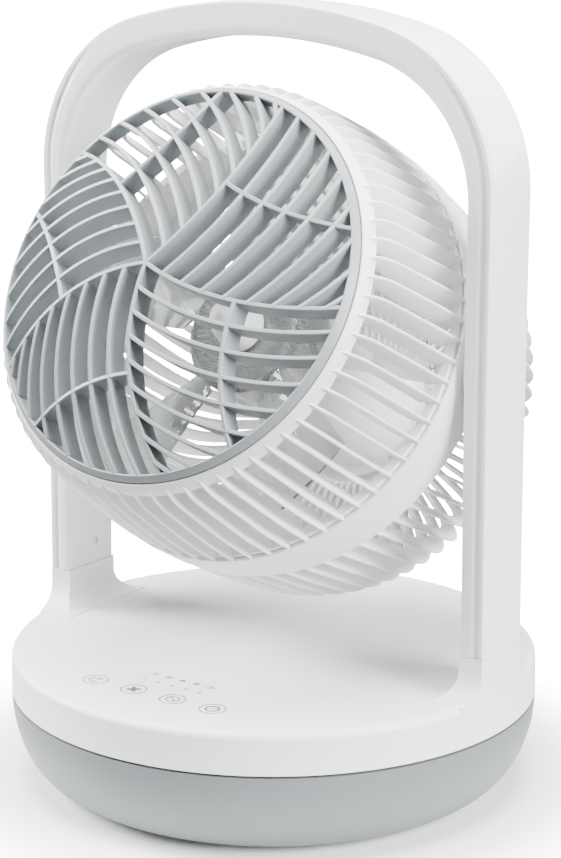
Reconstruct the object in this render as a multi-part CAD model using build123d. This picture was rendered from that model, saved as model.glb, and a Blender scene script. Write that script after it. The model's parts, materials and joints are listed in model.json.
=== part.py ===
"""Floor-standing air circulator: round swivelling base, carrying arch and a tilting ball-shaped head.

Frame: millimetres, +Z up, the object faces -Y, origin at the centre of the underside.
Bodies: base, turret (turns on the base), pinion, head (tilts in the arch) and rotor (spins in the head).
"""
import os
from math import atan2, cos, degrees, pi, radians, sin, sqrt, tan

from build123d import *

# ---------------------------------------------------------------- driving dimensions
BASE_R = 150.0            # radius of the bowl's rim and of the cover's wall
BOWL_TOP_Z = 51.0         # rim of the lower bowl
BOWL_FOOT_R = 120.0       # radius where the bowl's curve meets its flat underside
FOOT_H = 2.0              # rubber feet stand proud by this much
SWIVEL_GAP = 1.5          # dark line between bowl and cover
COVER_TOP_Z = 75.0        # rim of the upper cover
COVER_DISH = 2.0          # the cover's top is dished by this much
COVER_RIM_R = 4.0         # rounding of the cover's rim
WALL = 2.5                # moulded wall
LEG_DEPTH = 42.0          # legs of the arch, front to back
STUB_H = 22.5             # stubs of the cover stand this high above its rim
SEAM = 0.4                # open line between arch and stub
LEG_FOOT_T = 15.0         # thickness of a leg at its foot
LEG_T = 15.5              # thickness of a leg where its corner starts
LEG_LEAN = 2.0            # the outer faces lean in by this much from foot to corner
CROWN_T = 19.0            # thickness of the arch at its top
STUB_FLARE = 15.0         # concave sweep from leg to rim, along the rim
STUB_FLARE_IN = 12.0      # concave sweep from leg to top, towards the centre
PIVOT_ABOVE_COVER = 169.5  # height of the tilt axis over the cover's rim
CROWN_ABOVE_PIVOT = 189.5  # highest point of the arch over the tilt axis
ARCH_CORNER_R = 88.0
ARCH_CROWN_R = 320.0
ARCH_IN_CORNER_R = 75.0
ARCH_IN_CROWN_R = 300.0
ARCH_CAP_T = 3.5          # outer strip of the arch
ARCH_EDGE_R = 3.0
HEAD_TILT = 29.0          # the head looks up by this much at rest
BAND_R = 128.0            # smooth band round the middle of the head
BAND_FRONT_S = 21.0       # s is the distance from the tilt axis along the head's own axis
BAND_REAR_S = -11.0
RING_R = 108.6            # outer radius of the front grille
RING_W = 4.0
IMPELLER_GAP = 4.6        # the blades' tips are this much smaller than the grille's ring
RING_S = 104.7            # front face of the grille's ring
DOME_H = 25.6             # the grille's centre stands out from its ring
GRILLE_DEPTH = 14.0       # depth of the grille's ribs
GRILLE_RIB_T = 2.0
GRILLE_PITCH = 12.6       # between parallel ribs of one sector
GRILLE_SECTORS = 5
GRILLE_ARC_R = 138.0      # bend of each divider
DIVIDER_END = (105.0, -4.0)   # a divider runs from the centre to here
CROSS_RIB_AT = 57.0       # length along a divider where the cross rib leaves it
CAGE_RIBS = 70
CAGE_RIB_T = 2.2
CAGE_LEAN = 10.0          # ribs lean from the radial direction
CAGE_SKEW = 4.0           # ribs run askew of the head's axis
IMPELLER_S = 20.0         # middle of the blades
BLADES = 5
HUB_R = 36.0
SHAFT_R = 4.0
TRUNNION_R = 8.0
TRUNNION_WALL = 3.0
TRUNNION_LIP = 5.0        # the trunnion's flange stands out by this much
TRUNNION_LIP_T = 3.5
BUSH_WALL = 3.0
BUSH_LIP = 3.0
POST_R = 14.0             # swivel post
POST_WALL = 3.5
POST_FOOT_R = 28.0
POST_FOOT_T = 4.0
PINION_SHAFT_R = 2.5
GEAR_MODULE = 1.25
GEAR_TEETH = 48
PINION_TEETH = 16
GEAR_Z = 41.0
GEAR_H = 6.0

# ---------------------------------------------------------------- clearances
RUNNING = 0.06            # shaft in a bush, radial
BESIDE = 0.3              # bodies that pass each other
FITTED = 0.1              # pieces of one body

# ---------------------------------------------------------------- derived places
LEG_SEAM_Z = COVER_TOP_Z + STUB_H     # where the arch meets the stubs
PIVOT_Z = COVER_TOP_Z + PIVOT_ABOVE_COVER
ARCH_TOP_Z = PIVOT_Z + CROWN_ABOVE_PIVOT
IMPELLER_R = RING_R - IMPELLER_GAP
ARCH_FOOT_X = BASE_R - 1.0            # outer face of the arch at its foot
ARCH_LEG_X = ARCH_FOOT_X - LEG_LEAN   # outer face of the arch where its corner starts
ARCH_IN_LEG_X = ARCH_LEG_X - LEG_T    # inner face where its corner starts
ARCH_IN_TOP_Z = ARCH_TOP_Z - CROWN_T  # underside of the arch
STUB_INNER_X = ARCH_FOOT_X - LEG_FOOT_T
COVER_BOTTOM_Z = BOWL_TOP_Z + SWIVEL_GAP
BOWL_FLOOR_Z = FOOT_H
BOWL_FLANGE_R = BOWL_FOOT_R - 16.0
PLATE_Z = BOWL_FLOOR_Z + WALL
PLATE_T = 2.0
PLATE_TOP_Z = PLATE_Z + PLATE_T
TURNTABLE_T = 3.5
TURNTABLE_Z = COVER_BOTTOM_Z - TURNTABLE_T
TURNTABLE_R = BASE_R - 6.0
TRACK_R = BOWL_FLANGE_R + 2.0
GLIDE_T = 1.5
GLIDE_CLEAR = 0.1
TRACK_TOP_Z = TURNTABLE_Z - GLIDE_T - GLIDE_CLEAR
GEAR_CENTRES = GEAR_MODULE * (GEAR_TEETH + PINION_TEETH) / 2
HEAD = Plane(
    origin=(0, 0, PIVOT_Z),
    x_dir=(1, 0, 0),
    z_dir=(0, -cos(radians(HEAD_TILT)), sin(radians(HEAD_TILT))),
)
DOME_SPHERE_R = (RING_R**2 + DOME_H**2) / (2 * DOME_H)
DOME_CENTRE_S = RING_S + DOME_H - DOME_SPHERE_R

# outline of the head's side: distance along the axis, radius
FRONT_PROFILE = [
    (RING_S - 0.5, RING_R + 1.0),
    (RING_S - 4.0, RING_R + 4.0),
    (RING_S - 10.0, RING_R + 7.6),
    (85.0, RING_R + 10.0),
    (70.0, BAND_R - 6.8),
    (45.0, BAND_R - 2.8),
    (BAND_FRONT_S, BAND_R),
]
REAR_PROFILE = [
    (BAND_REAR_S, BAND_R),
    (-30.0, BAND_R - 1.2),
    (-50.0, BAND_R - 2.6),
    (-70.0, BAND_R - 4.6),
    (-88.0, BAND_R - 9.6),
    (-101.0, BAND_R - 19.0),
    (-109.0, BAND_R - 33.0),
    (-114.0, 72.0),
    (-116.0, 44.0),
]
RIM_BACK_S = RING_S - 8.7
SHOULDER_S = RIM_BACK_S - 2.0
REAR_HUB_R = 44.0
REAR_HUB_S = -116.0
REAR_HUB_T = 4.0
REAR_HUB_BACK_S = REAR_HUB_S - 0.2
REAR_RIB_DEPTH = 12.0

os.makedirs("parts", exist_ok=True)


# ---------------------------------------------------------------- helpers
def save(name, shape):
    export_step(shape, f"parts/{name}.step")


def tube(r_out, r_in, z0, z1):
    """Upright tube between two heights, or a disc where r_in is 0."""
    body = Cylinder(r_out, z1 - z0, align=(Align.CENTER, Align.CENTER, Align.MIN))
    if r_in:
        body -= Cylinder(r_in, z1 - z0, align=(Align.CENTER, Align.CENTER, Align.MIN))
    return Pos(0, 0, z0) * body


def rod_x(r, x0, x1):
    """Rod along X between two places."""
    low, high = min(x0, x1), max(x0, x1)
    return Pos(low, 0, 0) * Rot(0, 90, 0) * Cylinder(
        r, high - low, align=(Align.CENTER, Align.CENTER, Align.MIN))


def rod_y(r, y0, y1, z):
    """Rod along Y at a height, above the origin."""
    return Pos(0, y0, z) * Rot(-90, 0, 0) * Cylinder(r, y1 - y0, align=(Align.CENTER, Align.CENTER, Align.MIN))


def slab(x, y, z):
    """Box given by its (low, high) pairs."""
    size = (x[1] - x[0], y[1] - y[0], z[1] - z[0])
    return Pos(sum(x) / 2, sum(y) / 2, sum(z) / 2) * Box(*size)


def turned(points):
    """Solid of revolution about Z from an outline of (radius, height) points."""
    face = make_face(Plane.XZ * Polyline(*points, close=True))
    return revolve(face, Axis.Z)


def group(pieces):
    return Compound(children=list(pieces))


def round_the_axis(count, r, start=0.0):
    """Places on a circle, turned to face outwards."""
    return [Rot(0, 0, start + i * 360 / count) * Pos(r, 0, 0) for i in range(count)]


def screw(head_r, shank_r, head_h, length):
    """Screw with its head on the plane z = 0 and its shank upwards."""
    head = Pos(0, 0, -head_h) * Cylinder(head_r, head_h, align=(Align.CENTER, Align.CENTER, Align.MIN))
    shank = Cylinder(shank_r, length, align=(Align.CENTER, Align.CENTER, Align.MIN))
    return head + shank


def tooth_points(module, teeth, backlash):
    """One involute tooth about angle 0, as (radius, angle) points from root to root."""
    pressure = radians(20)
    pitch_r = module * teeth / 2
    base_r = pitch_r * cos(pressure)
    tip_r = pitch_r + module
    root_r = pitch_r - 1.25 * module
    half = pi / (2 * teeth) - backlash / (2 * pitch_r)
    inv_pitch = tan(pressure) - pressure
    flank = []
    start_r = max(base_r, root_r)
    steps = 6
    for i in range(steps + 1):
        r = start_r + (tip_r - start_r) * i / steps
        roll = sqrt(max((r / base_r) ** 2 - 1, 0))
        flank.append((r, half + inv_pitch - (roll - atan2(roll, 1))))
    if start_r > root_r:
        flank.insert(0, (root_r, flank[0][1]))
    return [(r, -a) for r, a in flank] + [(r, a) for r, a in reversed(flank)]


def spur_gear(teeth, bore_r, height, backlash=0.16):
    outline = []
    for k in range(teeth):
        turn = 2 * pi * k / teeth
        for r, a in tooth_points(GEAR_MODULE, teeth, backlash):
            outline.append((r * cos(turn + a), r * sin(turn + a)))
    body = extrude(make_face(Polyline(*outline, close=True)), height)
    return body - Cylinder(bore_r, 3 * height)


# ---------------------------------------------------------------- base, fixed
def bowl_point(z, inset=0.0):
    """Radius of the bowl's wall at a height, inset from the outside."""
    a = BASE_R - BOWL_FOOT_R - inset
    b = BOWL_TOP_Z - BOWL_FLOOR_Z - inset
    return BOWL_FOOT_R + a * sqrt(max(1 - ((BOWL_TOP_Z - z) / b) ** 2, 0))


SOCKET_Z = 22.0
SOCKET_R = 6.0
PLATE_SCREWS = 6
FEET = 5
FOOT_R = 6.5
FOOT_CIRCLE_R = BOWL_FOOT_R - 8.0
PLATE_SCREW_CIRCLE_R = BOWL_FLANGE_R + 3.5
PLATE_SCREW_Z = PLATE_Z - 0.6
PLATE_R = BOWL_FLANGE_R + 8.0
PLATE_SCREW = {"head_r": 2.6, "shank_r": 1.5, "head_h": 1.6, "length": 6.0}
BOSS_R = 3.2


def plate_screw_places():
    seat = Pos(0, 0, PLATE_SCREW_Z)
    return [place * seat for place in round_the_axis(PLATE_SCREWS, PLATE_SCREW_CIRCLE_R, 30)]


def plate_screws():
    return [place * screw(**PLATE_SCREW) for place in plate_screw_places()]


def bowl_shell():
    """Lower shell: elliptical wall drawn in to a flat flange."""
    a = BASE_R - BOWL_FOOT_R
    b = BOWL_TOP_Z - BOWL_FLOOR_Z
    centre = (BOWL_FOOT_R, BOWL_TOP_Z)
    with BuildSketch(Plane.XZ) as section:
        with BuildLine():
            EllipticalCenterArc(centre, a, b, start_angle=270, arc_size=90)
            Line((BASE_R, BOWL_TOP_Z), (BASE_R - WALL, BOWL_TOP_Z))
            EllipticalCenterArc(centre, a - WALL, b - WALL, start_angle=270, arc_size=90)
            Polyline(
                (BOWL_FOOT_R, PLATE_Z), (BOWL_FLANGE_R, PLATE_Z),
                (BOWL_FLANGE_R, BOWL_FLOOR_Z), (BOWL_FOOT_R, BOWL_FLOOR_Z))
        make_face()
    shell = revolve(section.sketch, Axis.Z)
    for place in plate_screw_places():
        shell -= place * screw(PLATE_SCREW["head_r"] + FITTED, PLATE_SCREW["shank_r"] + FITTED, 4.0, 2.0)
    return shell - rod_y(SOCKET_R + FITTED, BASE_R - 30, BASE_R + 10, SOCKET_Z)


def bottom_plate():
    """Disc that closes the bowl, with bosses for its screws and stand-offs for the board."""
    plate = tube(PLATE_R, 0, PLATE_Z, PLATE_TOP_Z)
    boss_h = PLATE_TOP_Z + 5 - PLATE_SCREW_Z
    for place in plate_screw_places():
        plate += place * tube(BOSS_R, 0, PLATE_TOP_Z - PLATE_SCREW_Z, boss_h)
        plate -= place * tube(PLATE_SCREW["shank_r"], 0, 0, PLATE_SCREW["length"])
    for x in (-BOARD_X + STANDOFF_IN, BOARD_X - STANDOFF_IN):
        for y in (BOARD_Y[0] + STANDOFF_IN, BOARD_Y[1] - STANDOFF_IN):
            plate += Pos(x, y, 0) * tube(STANDOFF_R, 0, PLATE_TOP_Z, BOARD_Z)
    return plate


BOARD_X = 20.0
BOARD_Y = (31.0, 53.0)
BOARD_Z = PLATE_TOP_Z + 2.5
BOARD_T = 1.6
STANDOFF_R = 2.0
STANDOFF_IN = 4.0         # from a board's edge to its stand-offs
BALLAST_IN_R = 60.0
BALLAST_H = 8.0


def power_board():
    board = slab((-BOARD_X, BOARD_X), BOARD_Y, (BOARD_Z, BOARD_Z + BOARD_T))
    top = BOARD_Z + BOARD_T
    board += Pos(-12, 42, 0) * tube(4.0, 0, top, top + 11)
    board += slab((0, 12), (36, 48), (top, top + 9))
    return board


def feet():
    foot = tube(FOOT_R, 0, 0, BOWL_FLOOR_Z)
    foot = fillet(foot.edges().group_by(Axis.Z)[0], 0.7)
    return group([place * foot for place in round_the_axis(FEET, FOOT_CIRCLE_R, 90)])


def swivel_post():
    """Hollow post on a flange; a shoulder carries the fixed gear."""
    foot_z = PLATE_TOP_Z + POST_FOOT_T
    shoulder = POST_R + 4
    return turned([
        (POST_R - POST_WALL, PLATE_TOP_Z), (POST_FOOT_R, PLATE_TOP_Z), (POST_FOOT_R, foot_z), (shoulder, foot_z),
        (shoulder, GEAR_Z), (POST_R, GEAR_Z), (POST_R, POST_TOP_Z), (POST_R - POST_WALL, POST_TOP_Z)])


HUB_TOP_Z = TURNTABLE_Z + 9.0
POST_TOP_Z = HUB_TOP_Z + 3.5
CLIP_W = 5.0
CLIP_T = 1.6


def retainer_clip():
    """Ring on the post that keeps the turntable down."""
    low = HUB_TOP_Z + BESIDE
    return tube(POST_R + CLIP_W, POST_R, low, low + CLIP_T)


TRACK_HALF_W = 6.0


def track_ring():
    """Drum with the ring that the turntable's pads glide on."""
    inner = TRACK_R - TRACK_HALF_W
    outer = TRACK_R + TRACK_HALF_W
    wall = TRACK_R - TRACK_HALF_W / 2
    return turned([
        (inner, PLATE_TOP_Z), (wall, PLATE_TOP_Z), (wall, TRACK_TOP_Z - WALL),
        (outer, TRACK_TOP_Z - WALL), (outer, TRACK_TOP_Z), (inner, TRACK_TOP_Z)])


INLET_BORE_R = 2.75       # barrel inlet, 5.5 mm
INLET_PIN_R = 1.0
INLET_DEPTH = 9.5
INLET_BLOCK = 8.0         # half width of the moulded block behind the barrel


def power_socket():
    """Low-voltage barrel inlet at the back of the bowl."""
    face_y = bowl_point(SOCKET_Z) - 1.2
    body = rod_y(SOCKET_R, BASE_R - 32, face_y, SOCKET_Z)
    half_h = INLET_BLOCK - 1
    block = slab((-INLET_BLOCK, INLET_BLOCK), (BASE_R - 34, BASE_R - 20), (SOCKET_Z - half_h, SOCKET_Z + half_h))
    bore = rod_y(INLET_BORE_R, face_y - INLET_DEPTH, face_y + 2.5, SOCKET_Z)
    pin = rod_y(INLET_PIN_R, face_y - INLET_DEPTH - 0.5, face_y - 1, SOCKET_Z)
    return (body + block) - bore + pin


# ---------------------------------------------------------------- turret
COVER_SCREWS = 6
COVER_SCREW_R = BASE_R - 14.0
COVER_SCREW = {"head_r": 2.8, "shank_r": 1.5, "head_h": 1.8, "length": 9.0}
COVER_SCREW_Z = TURNTABLE_Z + 2.0
COVER_IN_R = BASE_R - WALL - 0.5
COVER_DRAFT = 0.4         # the cover's wall leans in by this much
TURNTABLE_HUB_R = POST_R + 6.0
GLIDE_R = 4.5
MOTOR_R = 21.0
MOTOR_OFFSET = 12.0
CONTROL_X = 52.0
CONTROL_Y = (-132.0, -96.0)
CONTROL_Z = COVER_TOP_Z - 11.0
TOUCH_XS = (-37.5, -12.5, 12.5, 37.5)
TOUCH_Y = -112.0
COVER_CEILING_Z = COVER_TOP_Z - COVER_DISH - WALL
SPIGOT_X = (STUB_INNER_X + 3.5, ARCH_FOOT_X - ARCH_CAP_T - 1.0)
SPIGOT_Y = LEG_DEPTH / 2 - 4.0
SPIGOT_TOP_Z = LEG_SEAM_Z + 22.0
LEG_HOLLOW_Z = LEG_SEAM_Z + 20.0     # the arch's channel is solid below this
LEG_SCREW_Z = LEG_SEAM_Z + 13.5
LEG_SCREW_Y = 3.5


def turntable():
    """Disc under the cover that runs on the post and on the pads."""
    disc = tube(TURNTABLE_R, POST_R + RUNNING, TURNTABLE_Z, COVER_BOTTOM_Z)
    disc += tube(TURNTABLE_HUB_R, POST_R + RUNNING, COVER_BOTTOM_Z, HUB_TOP_Z)
    disc -= Pos(0, GEAR_CENTRES, 0) * tube(PINION_SHAFT_R + 2, 0, TURNTABLE_Z - 1, COVER_BOTTOM_Z + 1)
    for place in cover_screw_places():
        disc -= place * tube(COVER_SCREW["shank_r"] + FITTED, 0, TURNTABLE_Z - 1, COVER_BOTTOM_Z + 1)
        disc -= place * tube(COVER_SCREW["head_r"] + FITTED, 0, TURNTABLE_Z - 1, COVER_SCREW_Z)
    return disc


def cover_screw_places():
    return round_the_axis(COVER_SCREWS, COVER_SCREW_R, 30)


def cover_screws():
    seat = Pos(0, 0, COVER_SCREW_Z)
    return [place * seat * screw(**COVER_SCREW) for place in cover_screw_places()]


def glide_pads():
    pad = tube(GLIDE_R, 0, TRACK_TOP_Z + GLIDE_CLEAR, TURNTABLE_Z)
    return group([place * pad for place in round_the_axis(6, TRACK_R, 0)])


def stub():
    """Leg stub on the +X side: outer face on the cover's wall, swept into rim and top."""
    half = LEG_DEPTH / 2
    low = COVER_TOP_Z - 4
    flare_z = COVER_TOP_Z + STUB_FLARE
    with BuildSketch(Plane.YZ) as side:
        with BuildLine():
            for sign in (-1, 1):
                Line((sign * (half + STUB_FLARE), low), (sign * (half + STUB_FLARE), COVER_TOP_Z))
                RadiusArc(
                    (sign * (half + STUB_FLARE), COVER_TOP_Z), (sign * half, flare_z), sign * STUB_FLARE)
                Line((sign * half, flare_z), (sign * half, LEG_SEAM_Z))
            Line((-half, LEG_SEAM_Z), (half, LEG_SEAM_Z))
            Line((-half - STUB_FLARE, low), (half + STUB_FLARE, low))
        make_face()
    along_rim = extrude(side.sketch, BASE_R + 5)
    inner_z = COVER_TOP_Z + STUB_FLARE_IN
    with BuildSketch(Plane.XZ) as front:
        with BuildLine():
            Line((STUB_INNER_X - STUB_FLARE_IN, low), (STUB_INNER_X - STUB_FLARE_IN, COVER_TOP_Z))
            RadiusArc(
                (STUB_INNER_X - STUB_FLARE_IN, COVER_TOP_Z), (STUB_INNER_X, inner_z), -STUB_FLARE_IN)
            Polyline((STUB_INNER_X, inner_z), (STUB_INNER_X, LEG_SEAM_Z), (BASE_R + 5, LEG_SEAM_Z),
                     (BASE_R + 5, low), (STUB_INNER_X - STUB_FLARE_IN, low))
        make_face()
    towards_centre = extrude(front.sketch, LEG_DEPTH + 2 * STUB_FLARE, both=True)
    within = tube(BASE_R - 0.5, 0, low - 1, LEG_SEAM_Z + 1)
    return along_rim & towards_centre & within


def top_cover():
    """Upper shell with two leg stubs, a soft rim and a dished top."""
    rim = COVER_RIM_R
    wall_r = BASE_R - COVER_DRAFT
    to_middle = rim * (1 - cos(pi / 4))
    with BuildSketch(Plane.XZ) as section:
        with BuildLine():
            Polyline((COVER_IN_R, COVER_BOTTOM_Z), (BASE_R, COVER_BOTTOM_Z), (wall_r, COVER_TOP_Z - rim))
            ThreePointArc(
                (wall_r, COVER_TOP_Z - rim),
                (wall_r - to_middle, COVER_TOP_Z - to_middle),
                (wall_r - rim, COVER_TOP_Z))
            Polyline(
                (wall_r - rim, COVER_TOP_Z), (0, COVER_TOP_Z), (0, COVER_CEILING_Z),
                (COVER_IN_R, COVER_CEILING_Z), (COVER_IN_R, COVER_BOTTOM_Z))
        make_face()
    dish_r = ((BASE_R - 6) ** 2 + COVER_DISH**2) / (2 * COVER_DISH)
    dish = Pos(0, 0, COVER_TOP_Z - COVER_DISH + dish_r) * Sphere(dish_r)
    cover = Rot(0, 0, 90) * revolve(section.sketch, Axis.Z) - dish
    for turn in (0, 180):
        cover += Rot(0, 0, turn) * stub()
    for place in cover_screw_places():
        cover += place * tube(4.0, 0, COVER_BOTTOM_Z, COVER_CEILING_Z)
        cover -= place * tube(COVER_SCREW["shank_r"], 0, COVER_BOTTOM_Z - 1, COVER_SCREW_Z + COVER_SCREW["length"])
    for x in (-CONTROL_X + STANDOFF_IN, CONTROL_X - STANDOFF_IN):
        for y in (CONTROL_Y[0] + 6, CONTROL_Y[1] - STANDOFF_IN):
            cover += Pos(x, y, 0) * tube(2.5, 0, CONTROL_Z + BOARD_T, COVER_CEILING_Z)
    for side in (-1, 1):
        cover += spigot(side)
        cover -= leg_screw_place(side) * tube(LEG_SCREW["shank_r"], 0, 0, LEG_SCREW["length"])
    return cover


def side_pair(side, pair):
    return tuple(sorted((side * pair[0], side * pair[1])))


def spigot(side, grow=0.0):
    """Tongue of the cover's stub that the arch slides over."""
    x = side_pair(side, (SPIGOT_X[0] - grow, SPIGOT_X[1] + grow))
    return slab(x, (-SPIGOT_Y - grow, SPIGOT_Y + grow), (LEG_SEAM_Z - 1, SPIGOT_TOP_Z + grow))


LEG_SCREW = {"head_r": 2.4, "shank_r": 1.4, "head_h": 1.4, "length": 8.0}


def leg_screw_place(side):
    """The screw goes in from the inner face of a leg, outwards into the tongue."""
    return Pos(side * (STUB_INNER_X + 1.9), LEG_SCREW_Y, LEG_SCREW_Z) * Rot(0, 90 * side, 0)


def leg_screws():
    return [leg_screw_place(side) * screw(**LEG_SCREW) for side in (-1, 1)]


def leg_screw_space(side):
    hole = screw(LEG_SCREW["head_r"] + FITTED, LEG_SCREW["shank_r"] + FITTED, 9.0, LEG_SCREW["length"] + 0.5)
    return leg_screw_place(side) * hole


def swing_motor():
    """Geared synchronous motor on the turntable, its output hole over the pinion."""
    body = Pos(0, GEAR_CENTRES + MOTOR_OFFSET, 0) * tube(MOTOR_R, 0, COVER_BOTTOM_Z, COVER_CEILING_Z - 1)
    for x in (-MOTOR_R - 3, MOTOR_R + 3):
        ear = tube(5.0, 1.6, COVER_BOTTOM_Z, COVER_BOTTOM_Z + 1.5)
        body += Pos(x, GEAR_CENTRES + MOTOR_OFFSET, 0) * ear
    hole = tube(PINION_SHAFT_R + RUNNING, 0, COVER_BOTTOM_Z - 1, COVER_BOTTOM_Z + 6)
    return body - Pos(0, GEAR_CENTRES, 0) * hole


def swing_gear():
    return Pos(0, 0, GEAR_Z) * Rot(0, 0, 90) * spur_gear(GEAR_TEETH, POST_R, GEAR_H)


def swing_pinion():
    half_pitch = 180 / PINION_TEETH
    return Pos(0, GEAR_CENTRES, GEAR_Z) * Rot(0, 0, 90 + half_pitch) * spur_gear(
        PINION_TEETH, PINION_SHAFT_R, GEAR_H)


def pinion_shaft():
    return Pos(0, GEAR_CENTRES, 0) * tube(PINION_SHAFT_R, 0, GEAR_Z - 1, COVER_BOTTOM_Z + 5)


def control_board():
    return slab((-CONTROL_X, CONTROL_X), CONTROL_Y, (CONTROL_Z, CONTROL_Z + BOARD_T))


def touch_springs():
    """Sensing springs that press on the cover from below, one under each touch key."""
    coil = tube(5.0, 3.4, CONTROL_Z + BOARD_T, COVER_CEILING_Z)
    return group([Pos(x, TOUCH_Y, 0) * coil for x in TOUCH_XS])


# ---------------------------------------------------------------- arch
def arch_face(foot_x, leg_x, top_z, corner_r, crown_r, low_z):
    """Closed outline of an upside-down U: near-upright sides, round corners, gentle crown."""
    foot_z = LEG_SEAM_Z + SEAM
    crown_z = top_z - crown_r
    reach = crown_r - corner_r
    corner_x = leg_x - corner_r
    corner_z = crown_z + sqrt(reach**2 - corner_x**2)
    angle = atan2(corner_z - crown_z, corner_x)
    join = (crown_r * cos(angle), crown_z + crown_r * sin(angle))
    mid = angle / 2
    middle = (corner_x + corner_r * cos(mid), corner_z + corner_r * sin(mid))
    with BuildSketch(Plane.XZ) as outline:
        with BuildLine():
            for sign in (-1, 1):
                start = (sign * leg_x, corner_z)
                TangentArc(start, (sign * foot_x, foot_z), tangent=(0, -1))
                ThreePointArc(start, (sign * middle[0], middle[1]), (sign * join[0], join[1]))
                if low_z < foot_z:
                    Line((sign * foot_x, foot_z), (sign * foot_x, low_z))
            ThreePointArc((-join[0], join[1]), (0, top_z), join)
            Line((-foot_x, low_z), (foot_x, low_z))
        make_face()
    return outline.sketch


def arch_block(inset, depth, low_z=LEG_SEAM_Z + SEAM, inner=False):
    """Solid under an arch outline; inset shrinks the outer outline or grows the inner one."""
    if inner:
        face = arch_face(
            STUB_INNER_X + inset, ARCH_IN_LEG_X + inset, ARCH_IN_TOP_Z + inset,
            ARCH_IN_CORNER_R + inset, ARCH_IN_CROWN_R + inset, low_z)
    else:
        face = arch_face(
            ARCH_FOOT_X - inset, ARCH_LEG_X - inset, ARCH_TOP_Z - inset,
            ARCH_CORNER_R - inset, ARCH_CROWN_R - inset, low_z)
    return extrude(face, depth / 2, both=True)


def arch_cap():
    """Outer strip of the arch."""
    strip = arch_block(0, LEG_DEPTH)
    rounded = strip.edges().filter_by(lambda e: abs(abs(e.center().Y) - LEG_DEPTH / 2) < 0.01
                                      and e.center().Z > LEG_SEAM_Z + 2)
    strip = fillet(rounded, ARCH_EDGE_R)
    return strip - arch_block(ARCH_CAP_T, LEG_DEPTH + 2, LEG_SEAM_Z - 1)


def arch_frame():
    """Inner channel of the arch with the slots for the tongues and the seats of the tilt bushes."""
    low = LEG_SEAM_Z - 1
    channel = arch_block(ARCH_CAP_T, LEG_DEPTH) - arch_block(0, LEG_DEPTH + 2, low, inner=True)
    pocket = arch_block(ARCH_CAP_T - 1, LEG_DEPTH - 2 * WALL) - arch_block(WALL, LEG_DEPTH + 2, low, inner=True)
    pocket -= slab((-BASE_R, BASE_R), (-LEG_DEPTH, LEG_DEPTH), (0, LEG_HOLLOW_Z))
    channel -= pocket
    for side in (-1, 1):
        channel -= spigot(side, FITTED)
        channel -= leg_screw_space(side)
        channel -= Pos(0, 0, PIVOT_Z) * rod_x(BUSH_R, side * BAND_R, side * BUSH_X[1])
    return channel


BUSH_R = TRUNNION_R + BUSH_WALL
BUSH_X = (ARCH_IN_LEG_X + 1.3, ARCH_LEG_X - 6.0)
BUSH_FLANGE_R = BUSH_R + BUSH_LIP
BUSH_FLANGE_X = (BUSH_X[0] + 2.8, BUSH_X[0] + 4.8)


def tilt_bush(side):
    """Flanged bush in a leg that the trunnion turns in."""
    body = rod_x(BUSH_R, side * BUSH_X[0], side * BUSH_X[1])
    body += rod_x(BUSH_FLANGE_R, side * BUSH_FLANGE_X[0], side * BUSH_FLANGE_X[1])
    body -= rod_x(TRUNNION_R + RUNNING, side * (BUSH_X[0] - 1), side * (BUSH_X[1] + 1))
    return Pos(0, 0, PIVOT_Z) * body


def tilt_washers():
    """Friction washers between head and legs."""
    washers = []
    for side in (-1, 1):
        ring = rod_x(BUSH_FLANGE_R, side * (BAND_R + BESIDE), side * (ARCH_IN_LEG_X + FITTED))
        ring -= rod_x(TRUNNION_R + BESIDE, side * (BAND_R - 1), side * ARCH_LEG_X)
        washers.append(Pos(0, 0, PIVOT_Z) * ring)
    return group(washers)


# ---------------------------------------------------------------- head, made along its own axis
def at_head(shape):
    """Move a piece made round Z, with the tilt axis at z = 0, to its place in the object."""
    return HEAD.location * shape


def divider_centre():
    """Centre of a divider's arc: the arc goes from the origin to DIVIDER_END, bending outwards below."""
    ex, ey = DIVIDER_END
    chord = sqrt(ex**2 + ey**2)
    rise = sqrt(GRILLE_ARC_R**2 - (chord / 2) ** 2)
    return (ex / 2 - ey / chord * rise, ey / 2 + ex / chord * rise)


def divider_band(dx=0.0, dy=0.0, turn=0.0):
    """Strip along a divider, moved by (dx, dy) after turning; longer than it needs to be."""
    cx, cy = divider_centre()
    half = GRILLE_RIB_T / 2
    ring = Circle(GRILLE_ARC_R + half) - Circle(GRILLE_ARC_R - half)
    reach = Pos(2.2 * RING_R / 2, 0) * Rectangle(2.2 * RING_R, 3 * RING_R)
    strip = (Pos(cx, cy) * ring) & reach & (Pos(0, -RING_R / 2) * Rectangle(5 * RING_R, 2.2 * RING_R))
    return Pos(dx, dy) * Rot(0, 0, turn) * strip


def divider_point(length):
    """Point on a divider at a length from the centre."""
    cx, cy = divider_centre()
    start = atan2(-cy, -cx)
    angle = start + length / GRILLE_ARC_R
    return (cx + GRILLE_ARC_R * cos(angle), cy + GRILLE_ARC_R * sin(angle))


def rotated(point, angle):
    a = radians(angle)
    return (point[0] * cos(a) - point[1] * sin(a), point[0] * sin(a) + point[1] * cos(a))


def sector_face():
    """Region between one divider and the next, out to the ring."""
    step = 360 / GRILLE_SECTORS
    lower = [divider_point(RING_R * 1.06 * i / 12) for i in range(13)]
    upper = [rotated(p, step) for p in lower]
    rim_r = RING_R * 1.3
    start = degrees(atan2(lower[-1][1], lower[-1][0]))
    far = [rotated((rim_r, 0), start + step * i / 6) for i in range(7)]
    outline = lower + far + list(reversed(upper[1:]))
    return make_face(Polyline(*outline, close=True)) & Circle(RING_R - RING_W / 2)


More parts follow.
